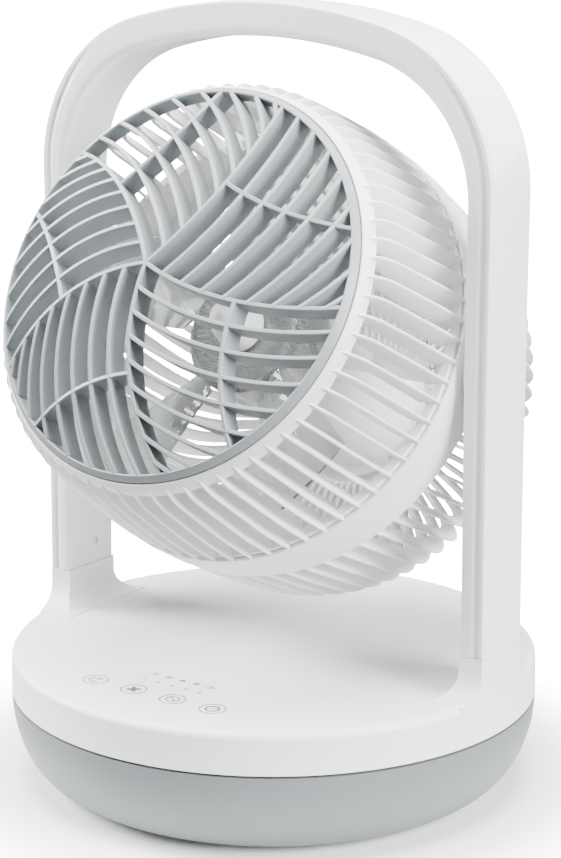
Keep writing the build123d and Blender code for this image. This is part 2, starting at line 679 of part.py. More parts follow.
def grille_pattern():
    """Flat pattern of the front grille: dividers, parallel ribs and one cross rib in each sector."""
    step = 360 / GRILLE_SECTORS
    region = sector_face()
    ribs = []
    count = int(RING_R // GRILLE_PITCH)
    for i in range(1, count + 1):
        dx, dy = divider_point(i * GRILLE_PITCH)
        ribs.append(divider_band(dx, dy, step) & region)
    cross_x, cross_y = rotated(divider_point(CROSS_RIB_AT), step)
    ribs.append(divider_band(cross_x, cross_y) & region)
    ribs.append(divider_band() & Circle(RING_R - RING_W / 2))
    one = Sketch() + ribs
    return [Rot(0, 0, step * k) * one for k in range(GRILLE_SECTORS)]


def front_grille():
    """Domed grille: pinwheel of deep ribs in a flat ring."""
    outer = Pos(0, 0, DOME_CENTRE_S) * Sphere(DOME_SPHERE_R)
    inner = Pos(0, 0, DOME_CENTRE_S) * Sphere(DOME_SPHERE_R - GRILLE_DEPTH)
    flat = Sketch() + grille_pattern()
    low = RIM_BACK_S - 6
    ribs = Pos(0, 0, low) * extrude(flat, RING_S + DOME_H + 2 - low)
    ribs = (ribs & outer) - inner
    ribs -= tube(RING_R, RING_R - RING_W, low - 1, RIM_BACK_S + FITTED)
    ring = tube(RING_R, RING_R - RING_W, RIM_BACK_S + FITTED, RING_S)
    return at_head(ribs + ring)


def cage_rib(outer, inner):
    """One fin in the X-Z plane between an outer and an inner edge, leaning and askew."""
    outline = [(r, s) for s, r in outer] + [(r, s) for s, r in reversed(inner)]
    fin = extrude(make_face(Plane.XZ * Polyline(*outline, close=True)), CAGE_RIB_T / 2, both=True)
    mid_s = (outer[0][0] + outer[-1][0]) / 2
    anchor = Pos(max(r for _, r in outer), 0, mid_s)
    return anchor * Rot(CAGE_SKEW, 0, CAGE_LEAN) * anchor.inverse() * fin


def ribs_round(fin):
    return [Rot(0, 0, k * 360 / CAGE_RIBS) * fin for k in range(CAGE_RIBS)]


def front_cage():
    """White side cage in front of the band: rim, leaning ribs and a tucked-in rear ring."""
    rim_profile = [(r, s) for s, r in FRONT_PROFILE[:3]]
    rim = turned(
        [(RING_R + FITTED, RING_S - 0.5)] + rim_profile
        + [(RING_R + 7.9, RIM_BACK_S - 1.5), (RING_R + 2, SHOULDER_S), (RING_R - 3.2, SHOULDER_S),
           (RING_R - 3.2, RIM_BACK_S), (RING_R + FITTED, RIM_BACK_S)])
    tail = tube(BAND_R - WALL - FITTED, BAND_R - 9, BAND_FRONT_S - 2.5, BAND_FRONT_S + 3)
    front_edge = [(RING_S - 9.2, RING_R + 7.0)] + FRONT_PROFILE[3:-1] + [(BAND_FRONT_S + 0.6, BAND_R - 0.6)]
    inner = [(SHOULDER_S + 0.5, RING_R - 2.6), (BAND_FRONT_S + 0.6, BAND_R - 15.0)]
    ribs = ribs_round(cage_rib(front_edge, inner))
    return at_head(rim + tail + ribs)


def rear_inner_edge():
    return [(s + REAR_RIB_DEPTH * lean_s, r - REAR_RIB_DEPTH * lean_r)
            for (s, r), (lean_s, lean_r) in zip(REAR_PROFILE, rear_normals())]


def rear_normals():
    """Inward direction at each point of the rear outline, as (along the axis, towards it)."""
    normals = []
    last = len(REAR_PROFILE) - 1
    for i in range(last + 1):
        s0, r0 = REAR_PROFILE[max(i - 1, 0)]
        s1, r1 = REAR_PROFILE[min(i + 1, last)]
        length = sqrt((s1 - s0) ** 2 + (r1 - r0) ** 2)
        normals.append((abs(r1 - r0) / length, abs(s1 - s0) / length))
    return normals


BOSS_X = (BAND_R - 14.0, BAND_R - 1.0)
TRUNNION_BOSS_R = BAND_FRONT_S - 3.0


def rear_cage():
    """Band with the trunnion bosses, rear ribs and the hub that carries the motor."""
    band = tube(BAND_R, BAND_R - WALL, BAND_REAR_S, BAND_FRONT_S)
    band += tube(BAND_R - 1, BAND_R - REAR_RIB_DEPTH, BAND_REAR_S - 2, BAND_REAR_S + 2)
    hub = tube(REAR_HUB_R + 3, 0, REAR_HUB_BACK_S, REAR_HUB_S + REAR_HUB_T)
    ribs = ribs_round(cage_rib(REAR_PROFILE, rear_inner_edge()))
    cage = band + hub + ribs
    for side in (-1, 1):
        cage += rod_x(TRUNNION_BOSS_R, side * BOSS_X[0], side * BOSS_X[1])
        cage -= rod_x(TRUNNION_R, side * (BOSS_X[0] - 20), side * (BAND_R + 5))
    for place in motor_screw_places():
        cage -= place * tube(MOTOR_SCREW["shank_r"] + FITTED, 0, REAR_HUB_S - 3, REAR_HUB_S + REAR_HUB_T + 1)
    return at_head(cage)


def trunnion(side):
    """Flanged hollow pin that carries the head."""
    start_x = BOSS_X[0] - TRUNNION_LIP_T
    pin = rod_x(TRUNNION_R, side * start_x, side * (BUSH_X[1] - 0.5))
    pin += rod_x(TRUNNION_R + TRUNNION_LIP, side * start_x, side * BOSS_X[0])
    pin -= rod_x(TRUNNION_R - TRUNNION_WALL, side * (start_x - 1), side * (BUSH_X[1] + 1))
    return at_head(pin)


MOTOR_SCREWS = 4
MOTOR_SCREW_CIRCLE_R = 36.5
MOTOR_SCREW = {"head_r": 2.8, "shank_r": 1.6, "head_h": 2.0, "length": 7.0}
MOUNT_R = 34.0
MOUNT_S = (REAR_HUB_S + REAR_HUB_T, IMPELLER_S - 28.0)
BEARING_R = 9.0
BEARING_T = 5.0
BEARING_TUBE_R = 12.0
STATOR_R = 27.0
STATOR_S = (IMPELLER_S - 18.0, IMPELLER_S + 2.0)
CUP_IN_R = 30.5
CUP_R = 32.5
CUP_S = (IMPELLER_S - 21.0, IMPELLER_S + 12.0)
TUBE_END_S = CUP_S[1] - 4.0


def motor_mount():
    """Cup on the rear hub, with the tube that holds both bearings."""
    back, front = MOUNT_S
    cup = turned([
        (MOUNT_R - 3, back), (MOUNT_R + 6, back), (MOUNT_R + 6, back + 3), (MOUNT_R, back + 3), (MOUNT_R, front),
        (BEARING_TUBE_R, front), (BEARING_TUBE_R, TUBE_END_S), (BEARING_R, TUBE_END_S),
        (BEARING_R, front - 18), (BEARING_TUBE_R, front - 18), (BEARING_TUBE_R, front - 3), (MOUNT_R - 3, front - 3)])
    for place in motor_screw_places():
        cup -= place * tube(MOTOR_SCREW["shank_r"], 0, back - 1, back + 4)
    return at_head(cup)


def motor_screw_places():
    return round_the_axis(MOTOR_SCREWS, MOTOR_SCREW_CIRCLE_R, 45)


def motor_screws():
    seat = Pos(0, 0, REAR_HUB_BACK_S)
    return [at_head(place * seat * screw(**MOTOR_SCREW)) for place in motor_screw_places()]


def back_cap():
    """Snap cap over the motor screws."""
    top = REAR_HUB_BACK_S
    cap = turned([
        (REAR_HUB_R, top), (REAR_HUB_R - 1, top - 2.5), (REAR_HUB_R - 5, top - 4.2),
        (0, top - 5.2), (0, top - 3.2), (REAR_HUB_R - 4, top - 2.4), (REAR_HUB_R - 2.5, top)])
    return at_head(cap)


def motor_board():
    disc = tube(MOUNT_R - 4, 6, MOUNT_S[0] + 30, MOUNT_S[0] + 30 + BOARD_T)
    return at_head(disc)


SLOTS = 9
SLOT_R = (17.0, 24.0)     # winding space, from the axis
SLOT_HALF_W = 4.2
SLOT_MOUTH = 1.2          # half the gap between two pole shoes
COIL_CLEAR = 0.3


def stator_core():
    """Laminated star on the bearing tube."""
    core = tube(STATOR_R, BEARING_TUBE_R, *STATOR_S)
    low, high = STATOR_S
    for k in range(SLOTS):
        wedge = slab(SLOT_R, (-SLOT_HALF_W, SLOT_HALF_W), (low - 1, high + 1))
        slot = slab((SLOT_R[0], STATOR_R + 2), (-SLOT_MOUTH, SLOT_MOUTH), (low - 1, high + 1))
        core -= Rot(0, 0, (k + 0.5) * 360 / SLOTS) * (wedge + slot)
    return at_head(core)


def stator_coils():
    """Windings in the slots."""
    low, high = STATOR_S
    across = (SLOT_MOUTH + COIL_CLEAR, SLOT_HALF_W - COIL_CLEAR)
    coils = []
    for k in range(SLOTS):
        for side in (-1, 1):
            pack = slab((SLOT_R[0] + 0.4, SLOT_R[1] - 0.4), side_pair(side, across), (low - 1, high + 2))
            coils.append(at_head(Rot(0, 0, (k + 0.5) * 360 / SLOTS) * pack))
    return group(coils)


def motor_bearings():
    pair = []
    for low in (MOUNT_S[1] - 16, TUBE_END_S - BEARING_T - 1):
        pair.append(at_head(tube(BEARING_R, SHAFT_R + RUNNING, low, low + BEARING_T)))
    return group(pair)


# ---------------------------------------------------------------- rotor
def motor_shaft():
    return at_head(tube(SHAFT_R, 0, MOUNT_S[1] - 17, CUP_S[1] + 24))


def rotor_cup():
    low, high = CUP_S
    return at_head(turned([
        (SHAFT_R, high - 2), (CUP_IN_R, high - 2), (CUP_IN_R, low), (CUP_R, low), (CUP_R, high),
        (SHAFT_R, high)]))


def magnet_ring():
    return at_head(tube(CUP_IN_R, STATOR_R + 0.8, STATOR_S[0] - 1, STATOR_S[1] + 1))


BLADE_CAMBER = 0.09       # rise of a blade's middle, as a share of its chord
BLADE_ROOT = {"chord": 46.0, "pitch": 42.0, "thick": 4.0}
BLADE_MIDDLE = {"chord": 72.0, "pitch": 34.0, "thick": 3.2}
BLADE_TIP = {"chord": 92.0, "pitch": 27.0, "thick": 2.4}


def blade_section(r, chord, pitch, thick):
    """Thin curved section of a blade on the plane square to its radius."""
    plane = Plane(origin=(r, 0, IMPELLER_S), x_dir=(0, 1, 0), z_dir=(1, 0, 0))
    half = chord / 2
    camber = chord * BLADE_CAMBER
    with BuildSketch() as flat:
        with BuildLine():
            ThreePointArc((-half, 0), (0, camber + thick / 2), (half, 0))
            ThreePointArc((-half, 0), (0, camber - thick / 2), (half, 0))
        make_face()
    return plane * Rot(0, 0, pitch) * flat.sketch


def impeller():
    """Hub cup with twisted blades."""
    low, high = CUP_S
    hub = turned([
        (SHAFT_R, high), (CUP_R, high), (CUP_R, low - 1), (HUB_R, low - 1), (HUB_R, high - 2),
        (HUB_R - 5, high + 3), (SHAFT_R, high + 3)])
    blade = loft([
        blade_section(HUB_R - 2.0, **BLADE_ROOT),
        blade_section((HUB_R + IMPELLER_R) / 2, **BLADE_MIDDLE),
        blade_section(IMPELLER_R, **BLADE_TIP)])
    blade &= tube(IMPELLER_R, HUB_R - 0.4, IMPELLER_S - 45, IMPELLER_S + 45)
    wheel = hub
    for k in range(BLADES):
        wheel += Rot(0, 0, k * 360 / BLADES + 18) * blade
    return at_head(wheel)


def spinner_nut():
    """Domed nut that holds the impeller on the shaft."""
    low = CUP_S[1] + 3.0
    nut = turned([(0, low), (14, low), (14, low + 3), (12, low + 12), (8, low + 20), (0, low + 24)])
    return at_head(nut - tube(SHAFT_R, 0, low - 1, low + 21))


# ---------------------------------------------------------------- write every piece
save("bowl_shell", bowl_shell())
save("bottom_plate", bottom_plate())
save("bottom_screws", group(plate_screws()))
save("rubber_feet", feet())
save("ballast_ring", tube(TRACK_R - 7, BALLAST_IN_R, PLATE_TOP_Z, PLATE_TOP_Z + BALLAST_H))
save("swivel_post", swivel_post())
save("retainer_clip", retainer_clip())
save("swing_gear", swing_gear())
save("track_ring", track_ring())
save("power_board", power_board())
save("power_socket", power_socket())

save("turntable", turntable())
save("glide_pads", glide_pads())
save("top_cover", top_cover())
save("cover_screws", group(cover_screws()))
save("swing_motor", swing_motor())
save("control_board", control_board())
save("touch_springs", touch_springs())
save("arch_frame", arch_frame())
save("arch_cap", arch_cap())
save("leg_screws", group(leg_screws()))
save("tilt_bush_left", tilt_bush(-1))
save("tilt_bush_right", tilt_bush(1))
save("tilt_washers", tilt_washers())

save("swing_pinion", swing_pinion())
save("pinion_shaft", pinion_shaft())

save("front_grille", front_grille())
save("front_cage", front_cage())
save("rear_cage", rear_cage())
save("trunnion_left", trunnion(-1))
save("trunnion_right", trunnion(1))
save("motor_mount", motor_mount())
save("motor_screws", group(motor_screws()))
save("back_cap", back_cap())
save("motor_board", motor_board())
save("stator_core", stator_core())
save("stator_coils", stator_coils())
save("motor_bearings", motor_bearings())

save("motor_shaft", motor_shaft())
save("rotor_cup", rotor_cup())
save("magnet_ring", magnet_ring())
save("impeller", impeller())
save("spinner_nut", spinner_nut())
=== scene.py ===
"""Looks of an air circulator: a ball-shaped ribbed head in a carrying arch on a swivelling base.

Sizes are in metres in the frame and in millimetres in this file's named values, turned by MM.
The head's pieces are first made round Z, with the tilt axis at z = 0, then stood in place.
"""
import json
from math import atan2, cos, hypot, pi, radians, sin, sqrt

import bmesh
import bpy
from bpy.props import FloatProperty, FloatVectorProperty, IntProperty, PointerProperty
from mathutils import Matrix, Vector


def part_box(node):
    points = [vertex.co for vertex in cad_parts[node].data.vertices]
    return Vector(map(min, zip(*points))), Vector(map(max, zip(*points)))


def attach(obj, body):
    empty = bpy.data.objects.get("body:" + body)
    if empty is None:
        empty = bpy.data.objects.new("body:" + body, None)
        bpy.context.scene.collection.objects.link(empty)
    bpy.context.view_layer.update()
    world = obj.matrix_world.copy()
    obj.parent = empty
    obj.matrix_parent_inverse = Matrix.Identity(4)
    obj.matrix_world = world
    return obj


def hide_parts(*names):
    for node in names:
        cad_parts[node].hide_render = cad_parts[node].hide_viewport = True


bl_info = {
    "name": "Air circulator",
    "version": (1, 0, 0),
    "blender": (4, 5, 0),
    "location": "View3D > Sidebar > Circulator",
    "description": "Makes the finished pieces of an air circulator round its fixed frame",
    "category": "Object",
}

MM = 0.001
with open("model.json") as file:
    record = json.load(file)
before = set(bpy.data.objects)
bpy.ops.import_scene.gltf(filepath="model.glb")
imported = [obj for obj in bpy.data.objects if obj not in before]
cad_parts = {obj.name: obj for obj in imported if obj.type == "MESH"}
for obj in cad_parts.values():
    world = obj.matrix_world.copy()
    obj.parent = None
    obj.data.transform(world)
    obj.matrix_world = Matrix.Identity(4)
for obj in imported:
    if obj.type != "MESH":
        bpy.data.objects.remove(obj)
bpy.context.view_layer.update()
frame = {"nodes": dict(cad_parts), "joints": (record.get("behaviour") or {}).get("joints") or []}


# ---------------------------------------------------------------- places that come from the frame
def joint(name):
    return next(j for j in frame["joints"] if j["name"] == name)


PIVOT = Vector(joint("tilt")["pos_m"])
HEAD_AXIS = Vector(joint("fan_spin")["axis"]).normalized()
HEAD_LEAN = atan2(-HEAD_AXIS.y, HEAD_AXIS.z)      # turn about X from upright to the head's axis
IN_HEAD = Matrix.Translation(PIVOT) @ Matrix.Rotation(HEAD_LEAN, 4, "X")
ARCH_LOW, ARCH_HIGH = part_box("arch_cap")
ARCH_SEAM_Z = ARCH_LOW.z / MM
ARCH_TOP_Z = ARCH_HIGH.z / MM
LEG_HALF_DEPTH = ARCH_HIGH.y / MM
LEG_SCREW_Z = sum(corner.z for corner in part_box("leg_screws")) / 2 / MM
LEG_SCREW_Y = sum(corner.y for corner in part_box("leg_screws")) / 2 / MM


def linear(code):
    """sRGB hex colour as linear red, green and blue."""
    parts = [int(code[i:i + 2], 16) / 255 for i in (1, 3, 5)]
    return [c / 12.92 if c <= 0.04045 else ((c + 0.055) / 1.055) ** 2.4 for c in parts]


# ---------------------------------------------------------------- what a user would change
def length(name, description, default):
    return FloatProperty(name=name, description=description, default=default * MM, unit="LENGTH", precision=5)


def angle(name, description, default):
    return FloatProperty(name=name, description=description, default=radians(default), subtype="ANGLE")


def colour(name, description, code):
    return FloatVectorProperty(
        name=name, description=description, subtype="COLOR", size=3, min=0, max=1, default=linear(code))


class ArchSizes(bpy.types.PropertyGroup):
    flutes: IntProperty(name="Flutes", description="Fine grooves over each upper corner", default=11)
    flute_pitch: length("Flute pitch", "Distance between neighbouring flutes", 3.3)
    flute_width: length("Flute width", "Width of one flute", 2.9)
    flute_depth: length("Flute depth", "Depth of one flute", 0.9)
    strip: length("Outer strip", "Thickness of the outer strip of the arch", 3.6)
    crease_width: length("Crease width", "Width of the notch beside the outer strip", 4.4)
    crease_depth: length("Crease depth", "Depth of that notch on the legs", 2.2)
    outer_round: length("Outer edge", "Rounding of the outer edges", 3.0)
    inner_round: length("Inner edge", "Rounding of the inner edges", 6.0)


class HeadSizes(bpy.types.PropertyGroup):
    ribs: IntProperty(name="Side ribs", description="Ribs round each half of the head", default=70)
    rib_thickness: length("Rib thickness", "Thickness of a side rib", 2.1)
    rib_lean: angle("Rib lean", "Lean of the side ribs from the radial direction", 10)
    rib_skew: angle("Rib skew", "Turn of a rib round the head from its front end to its rear end", 2.8)
    rib_start: angle("First rib", "Place of the first rib round the head", -1.3)
    sectors: IntProperty(name="Sectors", description="Sectors of the pinwheel grille", default=5)
    grille_rib: length("Grille rib", "Thickness of a grille rib at its front edge", 2.3)
    grille_depth: length("Grille depth", "Depth of the grille's ribs", 14.0)
    grille_pitch: length("Grille pitch", "Distance between parallel grille ribs", 12.6)
    grille_bend: length("Grille bend", "Radius of the bend of every grille rib", 138.0)


class PrintSizes(bpy.types.PropertyGroup):
    key_radius: length("Key radius", "Radius of the circle round a touch key", 7.0)
    key_pitch: length("Key pitch", "Distance between touch keys", 26.3)
    line: length("Line", "Width of a printed line", 0.55)
    figure: length("Figure", "Height of a printed figure", 4.2)


class Finishes(bpy.types.PropertyGroup):
    white: colour("White", "White shells", "#EEEEED")
    bowl: colour("Bowl", "Grey lower bowl", "#6F7577")
    grille: colour("Grille", "Light grey front grille", "#8B9194")
    clear: colour("Clear", "Tint of the clear impeller", "#EEF2F3")
    ink: colour("Ink", "Printed marks", "#54595C")


class Circulator(bpy.types.PropertyGroup):
    arch: PointerProperty(type=ArchSizes)
    head: PointerProperty(type=HeadSizes)
    marks: PointerProperty(type=PrintSizes)
    finishes: PointerProperty(type=Finishes)


# ---------------------------------------------------------------- materials
CLOUD_MM = 55                     # size of the slow colour clouds
GRAIN_LOW, GRAIN_HIGH = 0.3, 0.7  # the noise stays nearly always between these


def add(tree, kind, settings=None, links=None):
    """Add a node; links gives each input a value or another node's output."""
    node = tree.nodes.new(kind)
    for key, value in (settings or {}).items():
        setattr(node, key, value)
    for key, value in (links or {}).items():
        if isinstance(value, bpy.types.NodeSocket):
            tree.links.new(value, node.inputs[key])
        else:
            node.inputs[key].default_value = value
    return node


def shaded(name, surface, vary, grain_mm, relief_mm, roughness, spread, stretch=(1, 1, 1)):
    """Principled surface: slow colour clouds, roughness that varies, and a fine grain as bump.

    vary darkens the clouds, and spread is how far the roughness goes either way.
    """
    if name in bpy.data.materials:
        return bpy.data.materials[name]
    material = bpy.data.materials.new(name)
    material.use_nodes = True
    tree = material.node_tree
    tree.nodes.clear()
    where = add(tree, "ShaderNodeTexCoord").outputs["Object"]
    along = add(tree, "ShaderNodeMapping", links={"Vector": where, "Scale": stretch}).outputs[0]
    clouds = add(tree, "ShaderNodeTexNoise", links={
        "Vector": where, "Scale": 1 / (CLOUD_MM * MM), "Detail": 3.0})
    grain = add(tree, "ShaderNodeTexNoise", links={
        "Vector": along, "Scale": 1 / (grain_mm * MM), "Detail": 3.0, "Roughness": 0.6})
    tint = surface["Base Color"]
    dim = [c * (1 - vary) for c in tint[:3]] + [1]
    mixed = add(tree, "ShaderNodeMix", {"data_type": "RGBA"}, {
        0: clouds.outputs["Fac"], 6: dim, 7: list(tint[:3]) + [1]})
    rough = add(tree, "ShaderNodeMapRange", links={
        "Value": grain.outputs["Fac"], "From Min": GRAIN_LOW, "From Max": GRAIN_HIGH,
        "To Min": roughness - spread, "To Max": roughness + spread})
    relief = add(tree, "ShaderNodeBump", links={
        "Height": grain.outputs["Fac"], "Strength": 0.6, "Distance": relief_mm * MM})
    shader = add(tree, "ShaderNodeBsdfPrincipled", links={
        **{key: value for key, value in surface.items() if key != "Base Color"},
        "Base Color": mixed.outputs[2], "Roughness": rough.outputs[0], "Normal": relief.outputs[0]})
    add(tree, "ShaderNodeOutputMaterial", links={"Surface": shader.outputs[0]})
    return material


def finishes():
    return bpy.context.scene.circulator.finishes


# The moulded grains of 0.4 to 0.5 mm are drawn coarser than a real mould's texture, so that they show.
def white_abs():
    """Moulded ABS with a fine spark texture: satin white, with soft broad highlights."""
    return shaded("white_abs_spark_textured", {"Base Color": finishes().white, "Specular IOR Level": 0.45},
                  vary=0.012, grain_mm=0.45, relief_mm=0.012, roughness=0.42, spread=0.05)


def bowl_abs():
    """Moulded ABS, a little more matt: cool mid grey with a broad sheen."""
    return shaded("grey_abs_matt_moulded", {"Base Color": finishes().bowl, "Specular IOR Level": 0.4},
                  vary=0.03, grain_mm=0.5, relief_mm=0.015, roughness=0.5, spread=0.05)


def grille_abs():
    """Moulded ABS in light grey: rib edges catch the light, flanks stay darker."""
    return shaded("light_grey_abs_moulded", {"Base Color": finishes().grille, "Specular IOR Level": 0.45},
                  vary=0.02, grain_mm=0.45, relief_mm=0.01, roughness=0.38, spread=0.05)


def clear_polycarbonate():
    """Injection-moulded polycarbonate: clear, with bright edges and slightly uneven gloss."""
    return shaded("clear_polycarbonate_moulded", {
        "Base Color": finishes().clear, "Transmission Weight": 0.9, "IOR": 1.52},
        vary=0.02, grain_mm=6.0, relief_mm=0.02, roughness=0.07, spread=0.03)


def print_ink():
    """Pad-printed ink: thin, grey and matt."""
    return shaded("grey_ink_pad_printed", {"Base Color": finishes().ink, "Specular IOR Level": 0.3},
                  vary=0.05, grain_mm=0.4, relief_mm=0.004, roughness=0.6, spread=0.05)


def dark_abs_and_gap_shade():
    """Moulded ABS in near-black: matt, with a faint grain. On the turntable and the track ring this
    near-black is painted shade for the gap under the top cover.
    """
    return shaded("black_abs_and_gap_shade_matt", {"Base Color": linear("#2A2B2C"), "Specular IOR Level": 0.4},
                  vary=0.08, grain_mm=0.4, relief_mm=0.02, roughness=0.55, spread=0.08)


def acetal():
    """Moulded acetal: waxy off-white with a soft gloss."""
    return shaded("natural_acetal_moulded", {"Base Color": linear("#E9E6DA"), "Specular IOR Level": 0.5},
                  vary=0.04, grain_mm=1.2, relief_mm=0.01, roughness=0.35, spread=0.05)


def turned_steel():
    """Turned and zinc-plated steel: bright metal with fine lines round the part."""
    return shaded("zinc_plated_steel_turned", {"Base Color": linear("#C9C8C4"), "Metallic": 1.0},
                  vary=0.04, grain_mm=0.8, relief_mm=0.004, roughness=0.28, spread=0.06, stretch=(0.2, 1, 3))


def cast_iron():
    """Sand-cast iron: dark, grainy and dull."""
    return shaded("grey_iron_sand_cast", {"Base Color": linear("#4A4A4B"), "Metallic": 0.6},
                  vary=0.2, grain_mm=1.4, relief_mm=0.12, roughness=0.7, spread=0.12)


def rubber():
    """Moulded rubber: black, dull, with a powdery bloom."""
    return shaded("black_rubber_moulded", {"Base Color": linear("#232323"), "Specular IOR Level": 0.35},
                  vary=0.15, grain_mm=0.6, relief_mm=0.03, roughness=0.8, spread=0.08)


def solder_mask():
    """Glass-epoxy board under green solder mask: smooth, with slight gloss."""
    return shaded("epoxy_board_solder_masked", {"Base Color": linear("#1E6B3E"), "Coat Weight": 0.3},
                  vary=0.12, grain_mm=2.2, relief_mm=0.02, roughness=0.35, spread=0.06)


def enamelled_copper():
    """Wound enamelled copper wire: reddish metal, ridged by its turns."""
    return shaded("enamelled_copper_wound", {"Base Color": linear("#B8703C"), "Metallic": 0.9},
                  vary=0.12, grain_mm=1.0, relief_mm=0.15, roughness=0.35, spread=0.1, stretch=(0.3, 0.3, 3))


# ---------------------------------------------------------------- meshes
SHARP_ANGLE = radians(38)
MERGE_DISTANCE = 1e-7
NEARLY_HALF = 0.49                # share of a side that one rounded corner may take up
TINY = 1e-6


def keep(name, mesh, material, body, slot, *nodes):
    """Show a finished mesh as a piece that stands for CAD nodes."""
    mesh.name = name
    mesh.materials.clear()
    mesh.materials.append(material)
    mesh.shade_smooth()
    mesh.set_sharp_from_angle(angle=SHARP_ANGLE)
    piece = bpy.data.objects.new(name, mesh)
    bpy.context.scene.collection.objects.link(piece)
    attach(piece, body)
    if nodes:
        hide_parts(*nodes)
    return piece


def mesh_of(parts, turn_out=True):
    """Mesh from (points, faces) parts, doubles merged and faces turned outwards."""
    shape = bmesh.new()
    for points, faces in parts:
        made = [shape.verts.new(p) for p in points]
        for face in faces:
            shape.faces.new([made[i] for i in face])
    bmesh.ops.remove_doubles(shape, verts=shape.verts, dist=MERGE_DISTANCE)
    if turn_out:
        bmesh.ops.recalc_face_normals(shape, faces=shape.faces)
    mesh = bpy.data.meshes.new("shape")
    shape.to_mesh(mesh)
    shape.free()
    return mesh


def joined(meshes, place=None):
    """One mesh from several, moved by place; the several are used up."""
    shape = bmesh.new()
    for mesh in meshes:
        shape.from_mesh(mesh)
        bpy.data.meshes.remove(mesh)
    if place is not None:
        shape.transform(place)
    mesh = bpy.data.meshes.new("shape")
    shape.to_mesh(mesh)
    shape.free()
    return mesh


def grid(rows, capped=True):
    """Tube through closed rows of points, capped at both ends, or closed on itself."""
    wide = len(rows[0])
    points = [p for row in rows for p in row]
    last = len(rows) - 1 if capped else len(rows)
    faces = []
    for r in range(last):
        for c in range(wide):
            nr, nc = (r + 1) % len(rows), (c + 1) % wide
            faces.append((r * wide + c, r * wide + nc, nr * wide + nc, nr * wide + c))
    if capped:
        faces.append(tuple(range(wide)))
        faces.append(tuple(range((len(rows) - 1) * wide, len(rows) * wide)))
    return points, faces


def softened(corners, steps=4):
    """Closed outline from (x, y, radius) corners; each corner is rounded."""
    outline = []
    for i, (x, y, r) in enumerate(corners):
        here = Vector((x, y))
        before = Vector(corners[i - 1][:2]) - here
        after = Vector(corners[(i + 1) % len(corners)][:2]) - here
        if r <= 0:
            outline.append((x, y))
            continue
        half = before.angle(after) / 2
        cut = r / max(abs(sin(half) / max(cos(half), TINY)), TINY)
        cut = min(cut, NEARLY_HALF * before.length, NEARLY_HALF * after.length)
        start, end = here + before.normalized() * cut, here + after.normalized() * cut
        for k in range(steps + 1):
            t = k / steps
            p = start * (1 - t) ** 2 + here * 2 * t * (1 - t) + end * t**2
            outline.append((p.x, p.y))
    return outline


def lathe(outline, steps=240):
    """Closed outline of (radius, height) in mm turned about Z."""
    rows = []
    for k in range(steps):
        a = 2 * pi * k / steps
        rows.append([Vector((r * cos(a), r * sin(a), z)) * MM for r, z in outline])
    return mesh_of([grid(rows, capped=False)])


def curve_through(points, steps):
    """Smooth curve through points, as a list of tuples."""
    made = []
    ends = [points[0]] + list(points) + [points[-1]]
    for i in range(len(points) - 1):
        a, b, c, d = (Vector(p) for p in ends[i:i + 4])
        for k in range(steps):
            t = k / steps
            made.append(tuple(0.5 * (2 * b + (c - a) * t + (2 * a - 5 * b + 4 * c - d) * t**2
                                     + (3 * b - a - 3 * c + d) * t**3)))
    return made + [tuple(points[-1])]


def fade(x, start, end):
    """0 before start, 1 after end, smooth between; start may be above end."""
    t = min(max((x - start) / (end - start), 0), 1)
    return t * t * (3 - 2 * t)


# ---------------------------------------------------------------- node trees
def ring_tree():
    """Node tree that repeats a piece round Z, leans the ring about X and moves it to its place."""
    name = "repeat_round_axis"
    if name in bpy.data.node_groups:
        return bpy.data.node_groups[name]
    tree = bpy.data.node_groups.new(name, "GeometryNodeTree")
    face = tree.interface
    face.new_socket("Geometry", in_out="INPUT", socket_type="NodeSocketGeometry")
    inputs = (
        ("Count", "NodeSocketInt"), ("Start", "NodeSocketFloat"), ("Lean", "NodeSocketVector"),
        ("Place", "NodeSocketVector"), ("Material", "NodeSocketMaterial"))
    for label, kind in inputs:
        face.new_socket(label, in_out="INPUT", socket_type=kind)
    face.new_socket("Geometry", in_out="OUTPUT", socket_type="NodeSocketGeometry")
    given = add(tree, "NodeGroupInput").outputs
    points = add(tree, "GeometryNodeMeshLine", links={"Count": given["Count"], "Offset": (0, 0, 0)})
    share = add(tree, "ShaderNodeMath", {"operation": "DIVIDE"}, {0: 2 * pi, 1: given["Count"]})
    index = add(tree, "GeometryNodeInputIndex")
    turn = add(tree, "ShaderNodeMath", {"operation": "MULTIPLY_ADD"}, {
        0: index.outputs[0], 1: share.outputs[0], 2: given["Start"]})
    about_z = add(tree, "ShaderNodeCombineXYZ", links={"Z": turn.outputs[0]})
    spin = add(tree, "FunctionNodeEulerToRotation", links={0: about_z.outputs[0]})
    copies = add(tree, "GeometryNodeInstanceOnPoints", links={
        "Points": points.outputs[0], "Instance": given["Geometry"], "Rotation": spin.outputs[0]})
    lean = add(tree, "FunctionNodeEulerToRotation", links={0: given["Lean"]})
    real = add(tree, "GeometryNodeRealizeInstances", links={"Geometry": copies.outputs[0]})
    stood = add(tree, "GeometryNodeTransform", links={
        "Geometry": real.outputs[0], "Translation": given["Place"], "Rotation": lean.outputs[0]})
    coated = add(tree, "GeometryNodeSetMaterial", links={
        "Geometry": stood.outputs[0], "Material": given["Material"]})
    add(tree, "NodeGroupOutput", links={0: coated.outputs[0]})
    return tree


